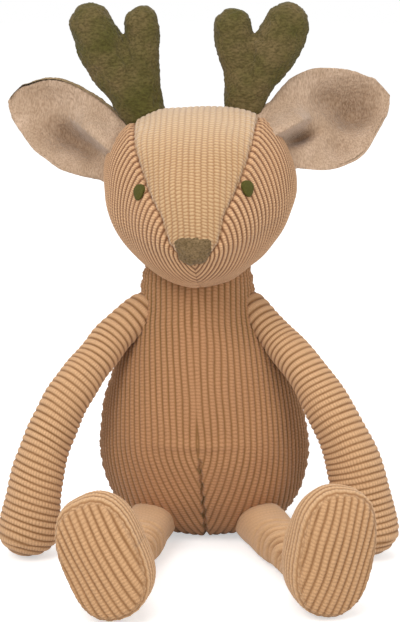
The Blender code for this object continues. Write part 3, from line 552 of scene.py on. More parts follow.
def smooth(table, places):
    """Reads a table whose first column rises, with a smooth curve through its rows."""
    table = np.array(table)
    knots, values = table[:, 0], table[:, 1:]
    slopes = np.gradient(values, knots, axis=0)
    low = np.clip(np.searchsorted(knots, places) - 1, 0, len(knots) - 2)
    step = (knots[low + 1] - knots[low])[..., None]
    share = np.clip((places - knots[low])[..., None] / step, 0, 1)
    square, cube = share ** 2, share ** 3
    return (
        (2 * cube - 3 * square + 1) * values[low]
        + (cube - 2 * square + share) * slopes[low] * step
        + (3 * square - 2 * cube) * values[low + 1]
        + (cube - square) * slopes[low + 1] * step
    )


def lengths(points, axis):
    """Length along the lines of a grid, from zero at its first points."""
    steps = np.linalg.norm(np.diff(points, axis=axis), axis=-1)
    start = np.zeros_like(np.take(steps, [0], axis=axis))
    return np.concatenate([start, np.cumsum(steps, axis=axis)], axis=axis)


def even_rows(points, step):
    """Places from 0 to 1 that cut a line of points into equal steps of about this length."""
    along = lengths(points, 0)
    count = int(math.ceil(along[-1] / step)) + 1
    return np.interp(np.linspace(0, along[-1], count), along, np.linspace(0, 1, len(along)))


def normals_of(points, wraps, inside):
    """Outward unit normals of a grid, and whether its own winding faces outwards."""
    if wraps:
        across = np.roll(points, -1, axis=1) - np.roll(points, 1, axis=1)
    else:
        across = np.gradient(points, axis=1)
    normals = unit(np.cross(across, np.gradient(points, axis=0)))
    outward = np.sum((points - np.array(inside)) * normals) > 0
    return (normals if outward else -normals), bool(outward)


def placed(points, matrix):
    return points @ matrix[:3, :3].T + matrix[:3, 3]


def joint_of(child):
    """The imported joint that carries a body."""
    return next(joint for joint in frame["record"]["behaviour"]["joints"] if joint["child"] == child)


def bend_at(child, way, before, after):
    """Where the cloth over a body's joint starts and ends to follow it, along a way through the joint."""
    pivot = np.array(joint_of(child)["pos_m"])
    return pivot - way * before, pivot + way * after


# Relief

def lumps(points, relief, size):
    """Slow uneven swelling of stuffed cloth: a few fixed waves across space."""
    chance = np.random.default_rng(SEED)
    height = np.zeros(points.shape[:-1])
    for _ in range(LUMP_WAVES):
        wave = unit(chance.normal(size=3)) * math.tau / (size * chance.uniform(*LUMP_SPREAD))
        height += np.sin(points @ wave + chance.uniform(0, math.tau))
    return relief * height / math.sqrt(LUMP_WAVES)


def grain(points, size):
    """Uneven heights from 0 to 1 with lumps of about a size, the same on every run."""
    place = points / size
    cell = np.floor(place).astype(np.int64)
    share = place - cell
    share = share * share * (3 - 2 * share)
    total = np.zeros(points.shape[:-1])
    for corner in np.ndindex(2, 2, 2):
        key = (cell + np.array(corner)) @ np.array(HASH_STEPS) + SEED
        key = (key ^ (key >> HASH_SHIFTS[0])) * HASH_FACTOR & HASH_MASK
        value = ((key ^ (key >> HASH_SHIFTS[1])) & HASH_RANGE) / HASH_RANGE
        weight = np.prod(np.where(np.array(corner) == 1, share, 1 - share), axis=-1)
        total += value * weight
    return total


def nap(points, relief):
    """Height of brushed pile: fine tufts over broader ones."""
    return relief * (grain(points, TUFT_SIZE) + grain(points, BROAD_TUFT_SIZE) - 1)


def cord_height(cords, beads, knobs):
    """Height from 0 to 1 of round cords with narrow grooves, knobbed along their length."""
    ridge = np.abs(np.cos(np.pi * cords)) ** CORD_ROUNDNESS
    knob = 0.5 - 0.5 * np.cos(math.tau * beads)
    return ridge * (1 - knobs * knob)


def woven(points, cords, along, bead_pitch=BEAD_PITCH):
    """Cord and bead coordinates, with the small unevenness of real cloth."""
    cords = cords + lumps(points, CORD_WOBBLE, LUMP_SIZE)
    uneven = lumps(points, BEAD_WOBBLE, BEAD_WOBBLE_SIZE)
    return cords, along / bead_pitch + BEAD_OFFSET * np.sin(BEAD_OFFSET_TURN * np.round(cords)) + uneven


def seam_relief(distance, along):
    """Depth of a seam's valley and puckers at a distance from the edge of a panel."""
    pucker = PUCKER_RELIEF * np.cos(math.tau * along / PUCKER_PITCH)
    return SEAM_DIP * bell(distance / SEAM_WIDTH) + pucker * np.exp(-distance / PUCKER_REACH)


def ribbed(points, normals, cords, beads, pitch, sunk=0.0, strength=1.0, knobs=BEAD_RELIEF_SHARE):
    """Raises cords on a smooth surface, and lets seams sink into it."""
    relief = pitch * CORD_RELIEF_SHARE * strength
    height = relief * (cord_height(cords, beads, knobs) - CORD_LIFT_SHARE)
    raised = points + normals * (height - sunk + lumps(points, LUMP_RELIEF, LUMP_SIZE))[..., None]
    raised[..., 2] = np.maximum(raised[..., 2], 0.0)
    return raised


# Pieces

def new_object(name, data):
    made = bpy.data.objects.new(name, data)
    bpy.context.scene.collection.objects.link(made)
    return made


def new_mesh(name, verts, quads, triangles):
    """A mesh from its points and the corner numbers of its faces."""
    mesh = bpy.data.meshes.new(name)
    corners = np.concatenate([quads.ravel(), triangles.ravel()])
    starts = np.concatenate([np.arange(len(quads)) * 4, quads.size + np.arange(len(triangles)) * 3])
    mesh.vertices.add(len(verts))
    mesh.vertices.foreach_set("co", verts.astype(np.float32).ravel())
    mesh.loops.add(len(corners))
    mesh.loops.foreach_set("vertex_index", corners.astype(np.int32))
    mesh.polygons.add(len(starts))
    mesh.polygons.foreach_set("loop_start", starts.astype(np.int32))
    mesh.update(calc_edges=True)
    return mesh


def set_attribute(mesh, name, kind, key, values):
    attribute = mesh.attributes.new(name, kind, "POINT")
    attribute.data.foreach_set(key, values.astype(np.float32).ravel())


def at_corners(grid):
    """What a grid holds at the four corners of each of its faces."""
    picked = (grid[:-1, :-1], grid[:-1, 1:], grid[1:, 1:], grid[1:, :-1])
    return np.stack(picked, axis=2).reshape(-1, 4, *grid.shape[2:])


def weave_of(cords, beads, along):
    return np.stack(np.broadcast_arrays(cords, beads, along), axis=-1)


def hemmed(points, normals, weave, axis, ends=(0, -1)):
    """Turns the open edges of a panel in, as a seam allowance."""
    for end in ends:
        turned = np.take(points, [end], axis) - np.take(normals, [end], axis) * HEM_DEPTH
        marks = np.take(weave, [end], axis)
        points = np.concatenate([turned, points] if end == 0 else [points, turned], axis)
        weave = np.concatenate([marks, weave] if end == 0 else [weave, marks], axis)
    return points, weave


def make_piece(name, points, weave, material, wraps=False, outward=True, capped=(False, False), fade_and_highlight=None):
    """A mesh object from a grid of points, with its weave coordinates and a map for each face."""
    rows, columns = points.shape[:2]
    index = np.arange(rows * columns).reshape(rows, columns)
    if wraps:
        index = np.column_stack([index, index[:, 0]])
    down, over = np.meshgrid(np.arange(rows), np.arange(index.shape[1]), indexing="ij")
    chart = np.stack([over / (index.shape[1] - 1), down / (rows - 1)], axis=-1)
    faces, maps = at_corners(index), at_corners(chart)
    if not outward:
        faces, maps = faces[:, ::-1], maps[:, ::-1]
    verts, marks = points.reshape(-1, 3), weave.reshape(-1, 3)
    caps, charts = [np.empty((0, 3), int)], [maps.reshape(-1, 2)]
    for row, wanted in zip((0, -1), capped):
        if not wanted:
            continue
        ring = index[row]
        tip = len(verts)
        verts = np.vstack([verts, points[row].mean(axis=0)])
        marks = np.vstack([marks, weave[row].mean(axis=0)])
        pair = (ring[1:], ring[:-1]) if (row == 0) == outward else (ring[:-1], ring[1:])
        caps.append(np.column_stack([*pair, np.full(len(ring) - 1, tip)]))
        charts.append(np.repeat(chart[row][:-1], 3, axis=0))
    mesh = new_mesh(name, verts, faces, np.vstack(caps))
    set_attribute(mesh, "weave", "FLOAT_VECTOR", "vector", marks)
    if fade_and_highlight is not None:
        spread = np.broadcast_to(fade_and_highlight, points.shape[:2]).ravel()
        set_attribute(mesh, "fade_and_highlight", "FLOAT", "value", np.append(spread, np.ones(len(verts) - len(spread))))
    layer = mesh.uv_layers.new(name="OFBake")
    layer.uv.foreach_set("vector", np.vstack(charts).astype(np.float32).ravel())
    mesh.shade_smooth()
    mesh.materials.append(material)
    return new_object(name, mesh)


def finish_piece(piece, nodes, body, bend=None):
    """Hides the imported nodes that a piece stands for, and ties it to its body; a piece given a bend keeps
    no parent, its place baked into its points.
    """
    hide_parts(*nodes)
    if bend:
        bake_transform(piece)
    else:
        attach(piece, body)


# Materials

def new_material(name, roughness, specular):
    material = bpy.data.materials.new(name)
    material.use_nodes = True
    shader = material.node_tree.nodes["Principled BSDF"]
    shader.inputs["Roughness"].default_value = roughness
    shader.inputs["Specular IOR Level"].default_value = specular
    return material, material.node_tree, shader


def wire(tree, kind, settings=(), values=(), links=()):
    """One node with its settings, socket values and incoming links."""
    node = tree.nodes.new("ShaderNode" + kind)
    for key, value in settings:
        setattr(node, key, value)
    for key, value in values:
        node.inputs[key].default_value = value
    for key, source in links:
        tree.links.new(source, node.inputs[key])
    return node


def sums(tree, operation, *terms):
    """One Math node. Each term is a number or a socket."""
    node = wire(tree, "Math", [("operation", operation)])
    for place, term in enumerate(terms):
        if isinstance(term, (int, float)):
            node.inputs[place].default_value = term
        else:
            tree.links.new(term, node.inputs[place])
    return node.outputs[0]


def mixed(tree, share, one, other):
    """A colour between two, each a colour or a socket."""
    node = wire(tree, "Mix", [("data_type", "RGBA")], links=[("Factor", share)])
    for key, term in (("A", one), ("B", other)):
        socket = [entry for entry in node.inputs if entry.name == key and entry.type == "RGBA"][0]
        if isinstance(term, tuple):
            socket.default_value = term
        else:
            tree.links.new(term, socket)
    return [entry for entry in node.outputs if entry.type == "RGBA"][0]


def ranged(tree, value, start, end, low=0.0, high=1.0):
    """A value taken from one range to another, and held at its ends."""
    ends = [("From Min", start), ("From Max", end), ("To Min", low), ("To Max", high)]
    return wire(tree, "MapRange", values=ends, links=[("Value", value)]).outputs["Result"]


def noise_at(tree, position, scale, detail):
    return wire(tree, "TexNoise", values=[("Scale", scale), ("Detail", detail)],
                links=[("Vector", position)]).outputs["Fac"]


def stripes(tree, coordinate):
    """A wave from 0 to 1, with one crest for each whole step of a coordinate."""
    return sums(tree, "ABSOLUTE", sums(tree, "SINE", sums(tree, "MULTIPLY", coordinate, math.pi)))


def marked(tree, name, socket):
    return wire(tree, "Attribute", [("attribute_name", name)]).outputs[socket]


def weave_sockets(tree):
    """What a piece's weave holds: on cloth its cord and bead coordinates and the way to its seam, shortened
    in the legs' creases for painted shade; on the ears the depth of the folds, for painted shade.
    """
    parts = wire(tree, "SeparateXYZ", links=[("Vector", marked(tree, "weave", "Vector"))])
    return [parts.outputs[axis] for axis in "XYZ"]


def finish_shader(tree, shader, base, height, bump):
    """Links a colour and the fine relief of a material, whose bump holds a strength and a distance."""
    tree.links.new(base, shader.inputs["Base Color"])
    values = list(zip(("Strength", "Distance"), bump))
    node = wire(tree, "Bump", values=values, links=[("Height", height)])
    tree.links.new(node.outputs["Normal"], shader.inputs["Normal"])


def make_corduroy(name, crest, groove, worn, lines=1.0, knobs=KNOB_SHADE, sharpness=GROOVE_SHARPNESS,
                  sheen=CORDUROY_SHEEN, painted_highlight=None, side=None):
    """Corduroy: pale cord tops, grooves darkened as painted shade, fine cross threads and uneven pile."""
    material, tree, shader = new_material(name, CORDUROY_ROUGHNESS, CORDUROY_SPECULAR)
    cords, beads, seam = weave_sockets(tree)
    place = wire(tree, "TexCoord").outputs["Object"]
    wave = sums(tree, "COSINE", sums(tree, "MULTIPLY", beads, math.tau))
    thread = sums(tree, "MULTIPLY_ADD", wave, -0.5, 0.5)
    patches = noise_at(tree, place, PATCH_SCALE, PATCH_DETAIL)
    fibres = noise_at(tree, place, FIBRE_SCALE, FIBRE_DETAIL)
    # Grooves fade by this mark: on the legs their cords fade, on the crown it is painted light, paler below
    fade_and_highlight = marked(tree, "fade_and_highlight", "Fac")
    kept = sums(tree, "SUBTRACT", 1.0, fade_and_highlight)
    # Painted shade in the grooves: the colour goes from the crest colour to the groove colour down each
    # groove
    deep = sums(tree, "POWER", stripes(tree, cords), sharpness)
    deep = sums(tree, "MULTIPLY", deep, sums(tree, "MULTIPLY", kept, lines))
    top, bottom = linear(crest), linear(groove)
    # Painted shade near the side seams: grooves go to the side colour, crests a little
    if side:
        shaded = ranged(tree, seam, 0.0, SIDE_SHADE_REACH, 1.0, 0.0)
        bottom = mixed(tree, shaded, bottom, linear(side))
        top = mixed(tree, sums(tree, "MULTIPLY", shaded, SIDE_SHADE_TINT), top, linear(side))
    base = mixed(tree, deep, top, bottom)
    tired = sums(tree, "MULTIPLY", sums(tree, "SUBTRACT", patches, WORN_START), WORN_STRENGTH)
    base = mixed(tree, tired, base, linear(worn))
    speck = sums(tree, "MULTIPLY", sums(tree, "SUBTRACT", SPECK_START, fibres), SPECK_STRENGTH)
    knob = sums(tree, "MULTIPLY", sums(tree, "POWER", thread, KNOB_SHARPNESS), kept)
    base = mixed(tree, sums(tree, "MULTIPLY_ADD", knob, knobs, speck), base, linear(groove))
    # Painted shade along the seams
    beside = ranged(tree, seam, 0.0, SEAM_SHADE_WIDTH, SEAM_SHADE, 0.0)
    base = mixed(tree, beside, base, linear(groove))
    # Painted highlight: the crown goes to a pale colour where light falls on the top of the head
    if painted_highlight:
        base = mixed(tree, fade_and_highlight, base, linear(painted_highlight))
    rough = sums(tree, "MULTIPLY_ADD", fibres, FIBRE_ROUGHNESS, CORDUROY_ROUGHNESS - FIBRE_ROUGHNESS / 2)
    tree.links.new(rough, shader.inputs["Roughness"])
    height = sums(tree, "MULTIPLY_ADD", thread, THREAD_RELIEF, sums(tree, "MULTIPLY", fibres, FIBRE_RELIEF))
    finish_shader(tree, shader, base, height, CORDUROY_BUMP)
    shader.inputs["Sheen Weight"].default_value = sheen
    return material


def make_plush(name, pale, dark, deep, pile):
    """Short brushed pile: tufts that lie one way, darker between them, with uneven patches."""
    material, tree, shader = new_material(name, PLUSH_ROUGHNESS, PLUSH_SPECULAR)
    place = wire(tree, "TexCoord").outputs["Object"]
    lay = wire(tree, "Mapping", values=[("Scale", pile["stretch"])], links=[("Vector", place)])
    tufts = noise_at(tree, lay.outputs["Vector"], pile["scale"], TUFT_DETAIL)
    brush = noise_at(tree, place, BRUSH_SCALE, BRUSH_DETAIL)
    base = mixed(tree, ranged(tree, brush, *BRUSH_RANGE), linear(dark), linear(pale))
    hollow = sums(tree, "SUBTRACT", 1.0, ranged(tree, tufts, *TUFT_RANGE))
    # Painted shade in the folds, from the weave, added to the darker hollows between tufts
    folds = weave_sockets(tree)[2]
    shade = sums(tree, "MULTIPLY_ADD", folds, FOLD_SHADE, sums(tree, "MULTIPLY", hollow, pile["contrast"]))
    base = mixed(tree, sums(tree, "MINIMUM", shade, 1.0), base, linear(deep))
    rough = sums(tree, "MULTIPLY_ADD", tufts, TUFT_ROUGHNESS, PLUSH_ROUGHNESS)
    tree.links.new(rough, shader.inputs["Roughness"])
    finish_shader(tree, shader, base, tufts, PLUSH_BUMP)
    shader.inputs["Sheen Weight"].default_value = pile["sheen"]
    shader.inputs["Sheen Roughness"].default_value = PLUSH_SHEEN_ROUGHNESS
    return material


def make_thread(name, colour, dark):
    """Satin stitches: fine threads side by side."""
    material, tree, shader = new_material(name, THREAD_ROUGHNESS, THREAD_SPECULAR)
    across = weave_sockets(tree)[0]
    fuzz = noise_at(tree, wire(tree, "TexCoord").outputs["Object"], FIBRE_SCALE, FUZZ_DETAIL)
    strand = stripes(tree, sums(tree, "MULTIPLY_ADD", fuzz, THREAD_WAVER, across))
    finish_shader(tree, shader, mixed(tree, strand, linear(dark), linear(colour)), strand, THREAD_BUMP)
    return material


# Body

def body_ring_points(profile, angles):
    """Points of the body at rows of its profile and angles round it, from its left side seam."""
    height, width, front, back = profile.T[:, :, None]
    sine = np.sin(angles)[None, :]
    depth = np.where(sine > 0, back * BODY_BACK, front * BODY_FRONT)
    lean = BODY_LEAN * np.minimum(height / NECK_HEIGHT, 1) ** 2
    across = lean + width * BODY_HALF_WIDTH * np.cos(angles)[None, :]
    level = np.broadcast_to(height, across.shape)
    return np.stack([across, BODY_SEAM_Y + depth * sine, level], axis=-1)


def side_puckers(edge, along):
    """Gathers that a tight side seam pulls into the cloth."""
    wave = np.sin(math.tau * along / SIDE_PUCKER_PITCH) ** 2
    return SIDE_PUCKER_RELIEF * wave * np.exp(-edge / SIDE_PUCKER_REACH)


def dart_shape(from_centre, height):
    """How far the dart shifts the cords outwards, its seam and fold as depths, and the way to its seam."""
    below = DART_ONSET * np.log1p(np.exp((DART_TOP - height) / DART_ONSET))
    shift = DART_SLOPE * below * bell(from_centre / DART_REACH)
    zigzag = DART_ZIGZAG * np.abs(2 * (height / DART_ZIGZAG_PITCH % 1) - 1)
    opened = np.clip((DART_TOP - height) / DART_ONSET, 0, 1)
    away = np.abs(from_centre - zigzag)
    seam = opened * DART_DEPTH * bell(away / DART_WIDTH)
    level, thickness, reach, rise = BELLY_FOLD
    fold = rise * bell((height - level) / thickness, from_centre / reach)
    return shift, seam - fold, away + np.where(opened > 0, 0.0, DART_REACH)


def make_body_panel(name, first, last, centre, material):
    """A panel between two angles. Its cords run down it, level with its centre line."""
    trial = body_ring_points(smooth(BODY_PROFILE, np.linspace(0, 1, TRIAL_ROWS)), np.array([first, last]))
    rows = even_rows(trial[:, 0], LONG_STEP)
    widest = np.linspace(first, last, TRIAL_COLUMNS)
    widest = body_ring_points(smooth(BODY_PROFILE, np.array([BODY_WIDEST])), widest)
    angles = first + (last - first) * even_rows(widest[0], FINE_STEP)
    points = body_ring_points(smooth(BODY_PROFILE, rows), angles)
    across, along = lengths(points, 1), lengths(points, 0)
    middle = np.argmin(np.abs(angles - centre))
    from_centre = across - across[:, middle:middle + 1]
    edge = np.minimum(across, across[:, -1:] - across)
    strength = BODY_CORD_STRENGTH + SIDE_CORD_STRENGTH * np.exp(-edge / SIDE_CORD_REACH)
    sunk = seam_relief(edge, along) + side_puckers(edge, along)
    if name == "body_front":
        from_centre = from_centre - DART_LEAN * np.clip(points[..., 2] / DART_TOP, 0, 1)
        shift, depth, dart_edge = dart_shape(from_centre, points[..., 2])
        cords = np.abs(from_centre) / CORD_PITCH + shift / CORD_PITCH + DART_CORD_SHIFT
        sunk = sunk + depth
        # The dart's seam gets the painted seam shade too
        shade = np.where(dart_edge < SEAM_SHADE_WIDTH, np.minimum(edge, dart_edge), edge)
    else:
        cords, shade = np.abs(from_centre) / CORD_PITCH, edge
    normals, outward = normals_of(points, False, (0, BODY_SEAM_Y, NECK_HEIGHT / 2))
    cords, beads = woven(points, cords, along)
    raised = ribbed(points, normals, cords, beads, CORD_PITCH, sunk, strength)
    raised, weave = hemmed(raised, normals, weave_of(cords, beads, shade), 1)
    return make_piece(name + "_cloth", raised, weave, material, outward=outward)


# Head

def head_matrix():
    yaw = Matrix.Rotation(math.radians(HEAD_YAW), 4, "Z")
    roll = Matrix.Rotation(math.radians(HEAD_ROLL), 4, "Y")
    return np.array(Matrix.Translation(Vector(HEAD_CENTRE)) @ yaw @ roll)


def head_direction(turn, lean):
    """A direction from the head's centre: turned up and over from the face, and leant to a side."""
    turn, lean = np.radians(turn), np.radians(lean)
    flat = np.cos(lean)
    return np.stack(np.broadcast_arrays(np.sin(lean), -flat * np.cos(turn), flat * np.sin(turn)), axis=-1)


def head_reach(direction):
    across, deep, upward = np.moveaxis(direction, -1, 0)
    crown = upward > 0
    fullness = np.where(crown, HEAD_CROWN_FULLNESS, HEAD_JAW_FULLNESS)
    height = np.where(crown, HEAD_CROWN_HEIGHT, HEAD_JAW_HEIGHT)
    outline = np.abs(across / HEAD_HALF_WIDTH) ** fullness + np.abs(upward / height) ** fullness
    oval = 1 / np.sqrt(outline ** (2 / fullness) + (deep / HEAD_HALF_DEPTH) ** 2)
    muzzle = head_direction(-MUZZLE_DROP, 0.0)
    away = np.degrees(np.arccos(np.clip(direction @ muzzle, -1, 1)))
    return oval + MUZZLE_REACH * bell(away / MUZZLE_SPREAD)


def head_points(direction, lift=0.0):
    return placed(direction * (head_reach(direction) + lift)[..., None], head_matrix())


def in_head(points):
    """How deep points lie in the head, in metres, below zero outside it."""
    matrix = head_matrix()
    local = (points - matrix[:3, 3]) @ matrix[:3, :3]
    distance = np.linalg.norm(local, axis=-1)
    return head_reach(local / np.maximum(distance, TINY)[..., None]) - distance


def cheek_lengths(direction):
    """Length from the muzzle across the cheek's cords: flattened rings that rise as they widen."""
    pole = head_direction(-CORD_POLE_DROP, 0.0)
    upward = np.array([0.0, -pole[2], pole[1]])
    upward = upward * np.sign(upward[2])
    side = np.abs(direction[..., 0])
    above = direction @ upward
    away = np.arccos(np.clip(direction @ pole, -1, 1))
    flat = np.maximum(np.hypot(side, above), TINY)
    across = away * side / flat
    rise = away * above / flat - CORD_RING_RISE * across
    ring = np.hypot(across, np.where(rise > 0, *CORD_RING_SHARES) * rise)
    angles = np.linspace(0, math.pi, CHEEK_LINE_POINTS)
    line = np.cos(angles)[:, None] * pole + np.sin(angles)[:, None] * np.array([1.0, 0.0, 0.0])
    return np.interp(ring, angles, lengths(line * head_reach(line)[:, None], 0))


def seam_lean(turn):
    turn = (turn + 90) % 360 - 90
    return np.where(turn > GUSSET_SEAM[-1][0], 0.0, smooth(GUSSET_SEAM, turn)[..., 0])


def make_head_side(name, side, material):
    """A cheek panel: rings from its seams to the middle of the cheek."""
    angle = round_turns(CHEEK_COLUMNS)
    turns = GUSSET_SEAM[1][0] + np.degrees(angle - TURN_CROWDING * np.sin(angle))
    edges = seam_lean(turns)
    share = np.linspace(0, 1, CHEEK_ROWS)[:-1, None]
    lean = side * (edges[None, :] + (90 - edges[None, :]) * share)
    direction = head_direction(turns[None, :], lean)
    points = head_points(direction)
    edge, around = lengths(points, 0), lengths(points, 1)
    chin = np.exp(-edge / CHIN_POINT_WIDTH) * np.clip(1 - edges / CHIN_POINT_FADE, 0, 1)[None, :]
    reach = cheek_lengths(direction) - CHIN_POINT_RELIEF * chin
    cords, beads = woven(points, reach / HEAD_CORD_PITCH, around)
    normals, outward = normals_of(points, True, HEAD_CENTRE)
    sewn = np.where(edges == 0, CHIN_SEAM_SHARE, 1.0)[None, :]
    sunk = sewn * seam_relief(edge, around)
    raised = ribbed(points, normals, cords, beads, HEAD_CORD_PITCH, sunk, CHEEK_CORD_STRENGTH)
    shade = edge + (1 - sewn) * SEAM_SHADE_WIDTH
    raised, weave = hemmed(raised, normals, weave_of(cords, beads, shade), 0, ends=(0,))
    return make_piece(name + "_cloth", raised, weave, material,
                      wraps=True, outward=outward, capped=(False, True))


def make_gusset(material):
    """The forehead panel, with cords from nose to nape, painted paler towards the crown as light falling on
    top.
    """
    turns = np.linspace(GUSSET_SEAM[0][0], GUSSET_SEAM[-1][0], GUSSET_ROWS)
    lean = seam_lean(turns)[:, None] * np.linspace(-1, 1, GUSSET_COLUMNS)[None, :]
    points = head_points(head_direction(turns[:, None], lean))
    across, along = lengths(points, 1), lengths(points, 0)
    middle = across[:, -1:] / 2
    cords, beads = woven(points, (across - middle) / HEAD_CORD_PITCH, along, GUSSET_BEAD_PITCH)
    normals, outward = normals_of(points, False, HEAD_CENTRE)
    edge = np.minimum(across, across[:, -1:] - across)
    # Towards the crown the beads fade, and painted light makes the cloth paler
    low, high = CROWN_START
    crown = np.clip((turns - low) / (high - low), 0, 1)[:, None]
    knobs = GUSSET_BEADS + (CROWN_BEADS - GUSSET_BEADS) * crown
    raised = ribbed(points, normals, cords, beads, HEAD_CORD_PITCH, seam_relief(edge, along),
                    GUSSET_CORD_STRENGTH, knobs)
    raised, weave = hemmed(raised, normals, weave_of(cords, beads, edge), 1)
    return make_piece("head_gusset_cloth", raised, weave, material, outward=outward, fade_and_highlight=CROWN_HIGHLIGHT * crown)


# Arms

def make_arm(name, line, pitch_shares, slant, material):
    """An arm tube with rings of cords round it, and where its cloth bends at the shoulder."""
    table = np.array(line)
    knots = np.linspace(0, 1, len(table))
    line = smooth(np.column_stack([knots, table]), np.linspace(0, 1, LINE_SAMPLES))
    along = lengths(line[:, :3], 0)
    total = along[-1]
    places = np.linspace(0, total, int(total / FINE_STEP))
    middle = np.stack([np.interp(places, along, line[:, axis]) for axis in range(3)], axis=-1)
    radius = np.interp(places, along, line[:, 3])
    heading = unit(np.gradient(middle, axis=0))
    cap = ARM_CAP_LENGTH * np.linspace(0, 1, ARM_CAP_ROWS)[1:]
    middle = np.vstack([middle, middle[-1] + heading[-1] * cap[:, None]])
    places = np.append(places, total + cap)
    radius = np.append(radius, np.repeat(radius[-1], len(cap)))
    heading = np.vstack([heading, np.repeat(heading[-1:], len(cap), 0)])
    for distance in (places, places[-1] - places):
        share = np.clip(1 - distance / ARM_CAP_ROUND, 0, 1)
        radius = radius * np.sqrt(np.maximum(1 - share ** ARM_CAP_POWER, ARM_TIP_SHARE))
    angle = round_turns(ARM_SIDES)
    across = unit(np.cross(heading, np.array([0.0, 1.0, 0.0])))
    beyond = np.cross(heading, across)
    spread = across[:, None] * np.cos(angle)[None, :, None] + beyond[:, None] * np.sin(angle)[None, :, None]
    points = middle[:, None] + spread * radius[:, None, None]
    forward = -(points - middle[:, None])[..., 1]
    sideways = radius[:, None] * np.cos(angle)[None, :]
    pitch = CORD_PITCH * np.interp(places / total, RING_PLACES, pitch_shares)[:, None]
    rings = np.append(0, np.cumsum(np.diff(places) / pitch[1:, 0]))[:, None]
    slants = slant * np.interp(places / total, SLANT_PLACES, (0, 1))[:, None]
    around = angle[None, :] * radius.max() * np.ones_like(forward)
    cords, beads = woven(points, rings + (RING_TILT * forward + slants * sideways) / pitch, around)
    normals, outward = normals_of(points, True, middle[len(middle) // 2])
    raised = ribbed(points, normals, cords, beads, CORD_PITCH)
    piece = make_piece(name + "_cloth", raised, weave_of(cords, beads, places[:, None]), material,
                       wraps=True, outward=outward, capped=(True, True))
    way = unit(table[ARM_BEND_ROW, :3] - np.array(joint_of(name)["pos_m"]))
    return piece, bend_at(name, way, ARM_BEND_BACK, ARM_BEND_LENGTH)


# Legs

def leg_rings(shares, foot, angles):
    """Rings of the leg and foot in the leg's own frame, from rows of shares."""
    side, lean, pitch, stretch = foot
    along, leg_width, leg_height, foot_width, foot_length, rise = shares.T[:, :, None]
    half_width = leg_width * LEG_HALF_WIDTH + foot_width * FOOT_HALF_WIDTH
    half_height = leg_height * LEG_HALF_HEIGHT + foot_length * stretch * FOOT_HALF_LENGTH
    cosine, sine = np.cos(angles)[None, :], np.sin(angles)[None, :]
    across = half_width * np.sign(cosine) * np.abs(cosine) ** FOOT_SQUARENESS
    upward = half_height * np.sign(sine) * np.abs(sine) ** FOOT_SQUARENESS
    tip = side * math.radians(lean) * rise
    back = -math.radians(pitch) * rise
    turned_x = across * np.cos(tip) + upward * np.sin(tip)
    turned_z = upward * np.cos(tip) - across * np.sin(tip)
    deep = -turned_z * np.sin(back)
    turned_z = turned_z * np.cos(back)
    level = turned_z + rise * (FOOT_RISE + (stretch - 1) * FOOT_HALF_LENGTH / 2)
    return np.stack([turned_x, deep - along * LEG_LENGTH, level], axis=-1)


def leg_wrinkles(along, side, angles):
    """Depth of the creases that the bent ankle pulls round the top and the inner side of a leg."""
    total = np.zeros((len(along), len(angles)))
    for place, slant, depth, width, middle in LEG_WRINKLES:
        away = (np.degrees(angles) - (middle if side > 0 else 180 - middle) + 180) % 360 - 180
        line = place - side * slant * np.radians(away)[None, :]
        total += depth * bell((along - line) / width, away[None, :] / WRINKLE_SPREAD)
    return total


def make_leg(name, side, yaw, lean, pitch, stretch, cord_turn, material, sole_material):
    """A leg with the upper of its foot, its sole, and where its cloth bends at the hip."""
    foot = (side, lean, pitch, stretch)
    hip = Vector(joint_of(name)["pos_m"])
    matrix = np.array(Matrix.Translation(hip) @ Matrix.Rotation(side * math.radians(yaw), 4, "Z"))
    start = LEG_SHARES[0][0]
    sample = np.linspace(start, 1.0, LINE_SAMPLES)
    shares = np.column_stack([sample, smooth(LEG_SHARES, sample)])
    rows = even_rows(leg_rings(shares, foot, np.array([math.pi / 2]))[:, 0], FINE_STEP)
    places = start + rows * (1.0 - start)
    shares = np.column_stack([places, smooth(LEG_SHARES, places)])
    angles = round_turns(LEG_SIDES)
    points = leg_rings(shares, foot, angles)
    tilt = math.radians(pitch)
    outward_way = np.array([0.0, -math.cos(tilt), -math.sin(tilt)])
    rim = np.clip((places - RIM_START) / RIM_LENGTH, 0, 1)[:, None, None]
    points = placed(points + outward_way * FOOT_RIM * rim, matrix)
    from_sole, around = lengths(points[::-1], 0)[::-1], lengths(points, 1)
    cords, beads = woven(points, from_sole / CORD_PITCH, around)
    normals, outward = normals_of(points, True, matrix[:3, 3] + matrix[:3, :3] @ (0, -LEG_LENGTH / 2, 0))
    low, high = FOOT_CORD_START
    share = np.clip((places - low) / (high - low), 0, 1)[:, None]
    strength = LEG_CORD_STRENGTH + (FOOT_CORD_STRENGTH - LEG_CORD_STRENGTH) * share
    knobs = LEG_KNOBS + (BEAD_RELIEF_SHARE - LEG_KNOBS) * share
    creases = leg_wrinkles(places[:, None] * LEG_LENGTH, side, angles)
    raised = ribbed(points, normals, cords, beads, CORD_PITCH, seam_relief(from_sole, around) + creases,
                    strength, knobs)
    # Painted shade in the creases: shortening the way to the seam draws the seam's darkening into them
    shaded = np.minimum(creases * WRINKLE_SHADE, DARKEST_WRINKLE)
    shade = np.minimum(from_sole, SEAM_SHADE_WIDTH * (1 - shaded))
    raised, weave = hemmed(raised, normals, weave_of(cords, beads, shade), 0, ends=(-1,))
    fade_and_highlight = LEG_FADE * np.append(1 - share, [[0.0]], axis=0)
    piece = make_piece(name + "_cloth", raised, weave, material,
                       wraps=True, outward=outward, capped=(True, False), fade_and_highlight=fade_and_highlight)
    sole = make_sole(name.replace("leg", "foot"), foot, cord_turn, matrix, outward_way, sole_material)
    way = unit(placed(np.array([0.0, -LEG_LENGTH, 0.0]), matrix) - placed(np.zeros(3), matrix))
    return piece, sole, bend_at(name, way, LEG_BEND_BACK, LEG_BEND_FRONT)


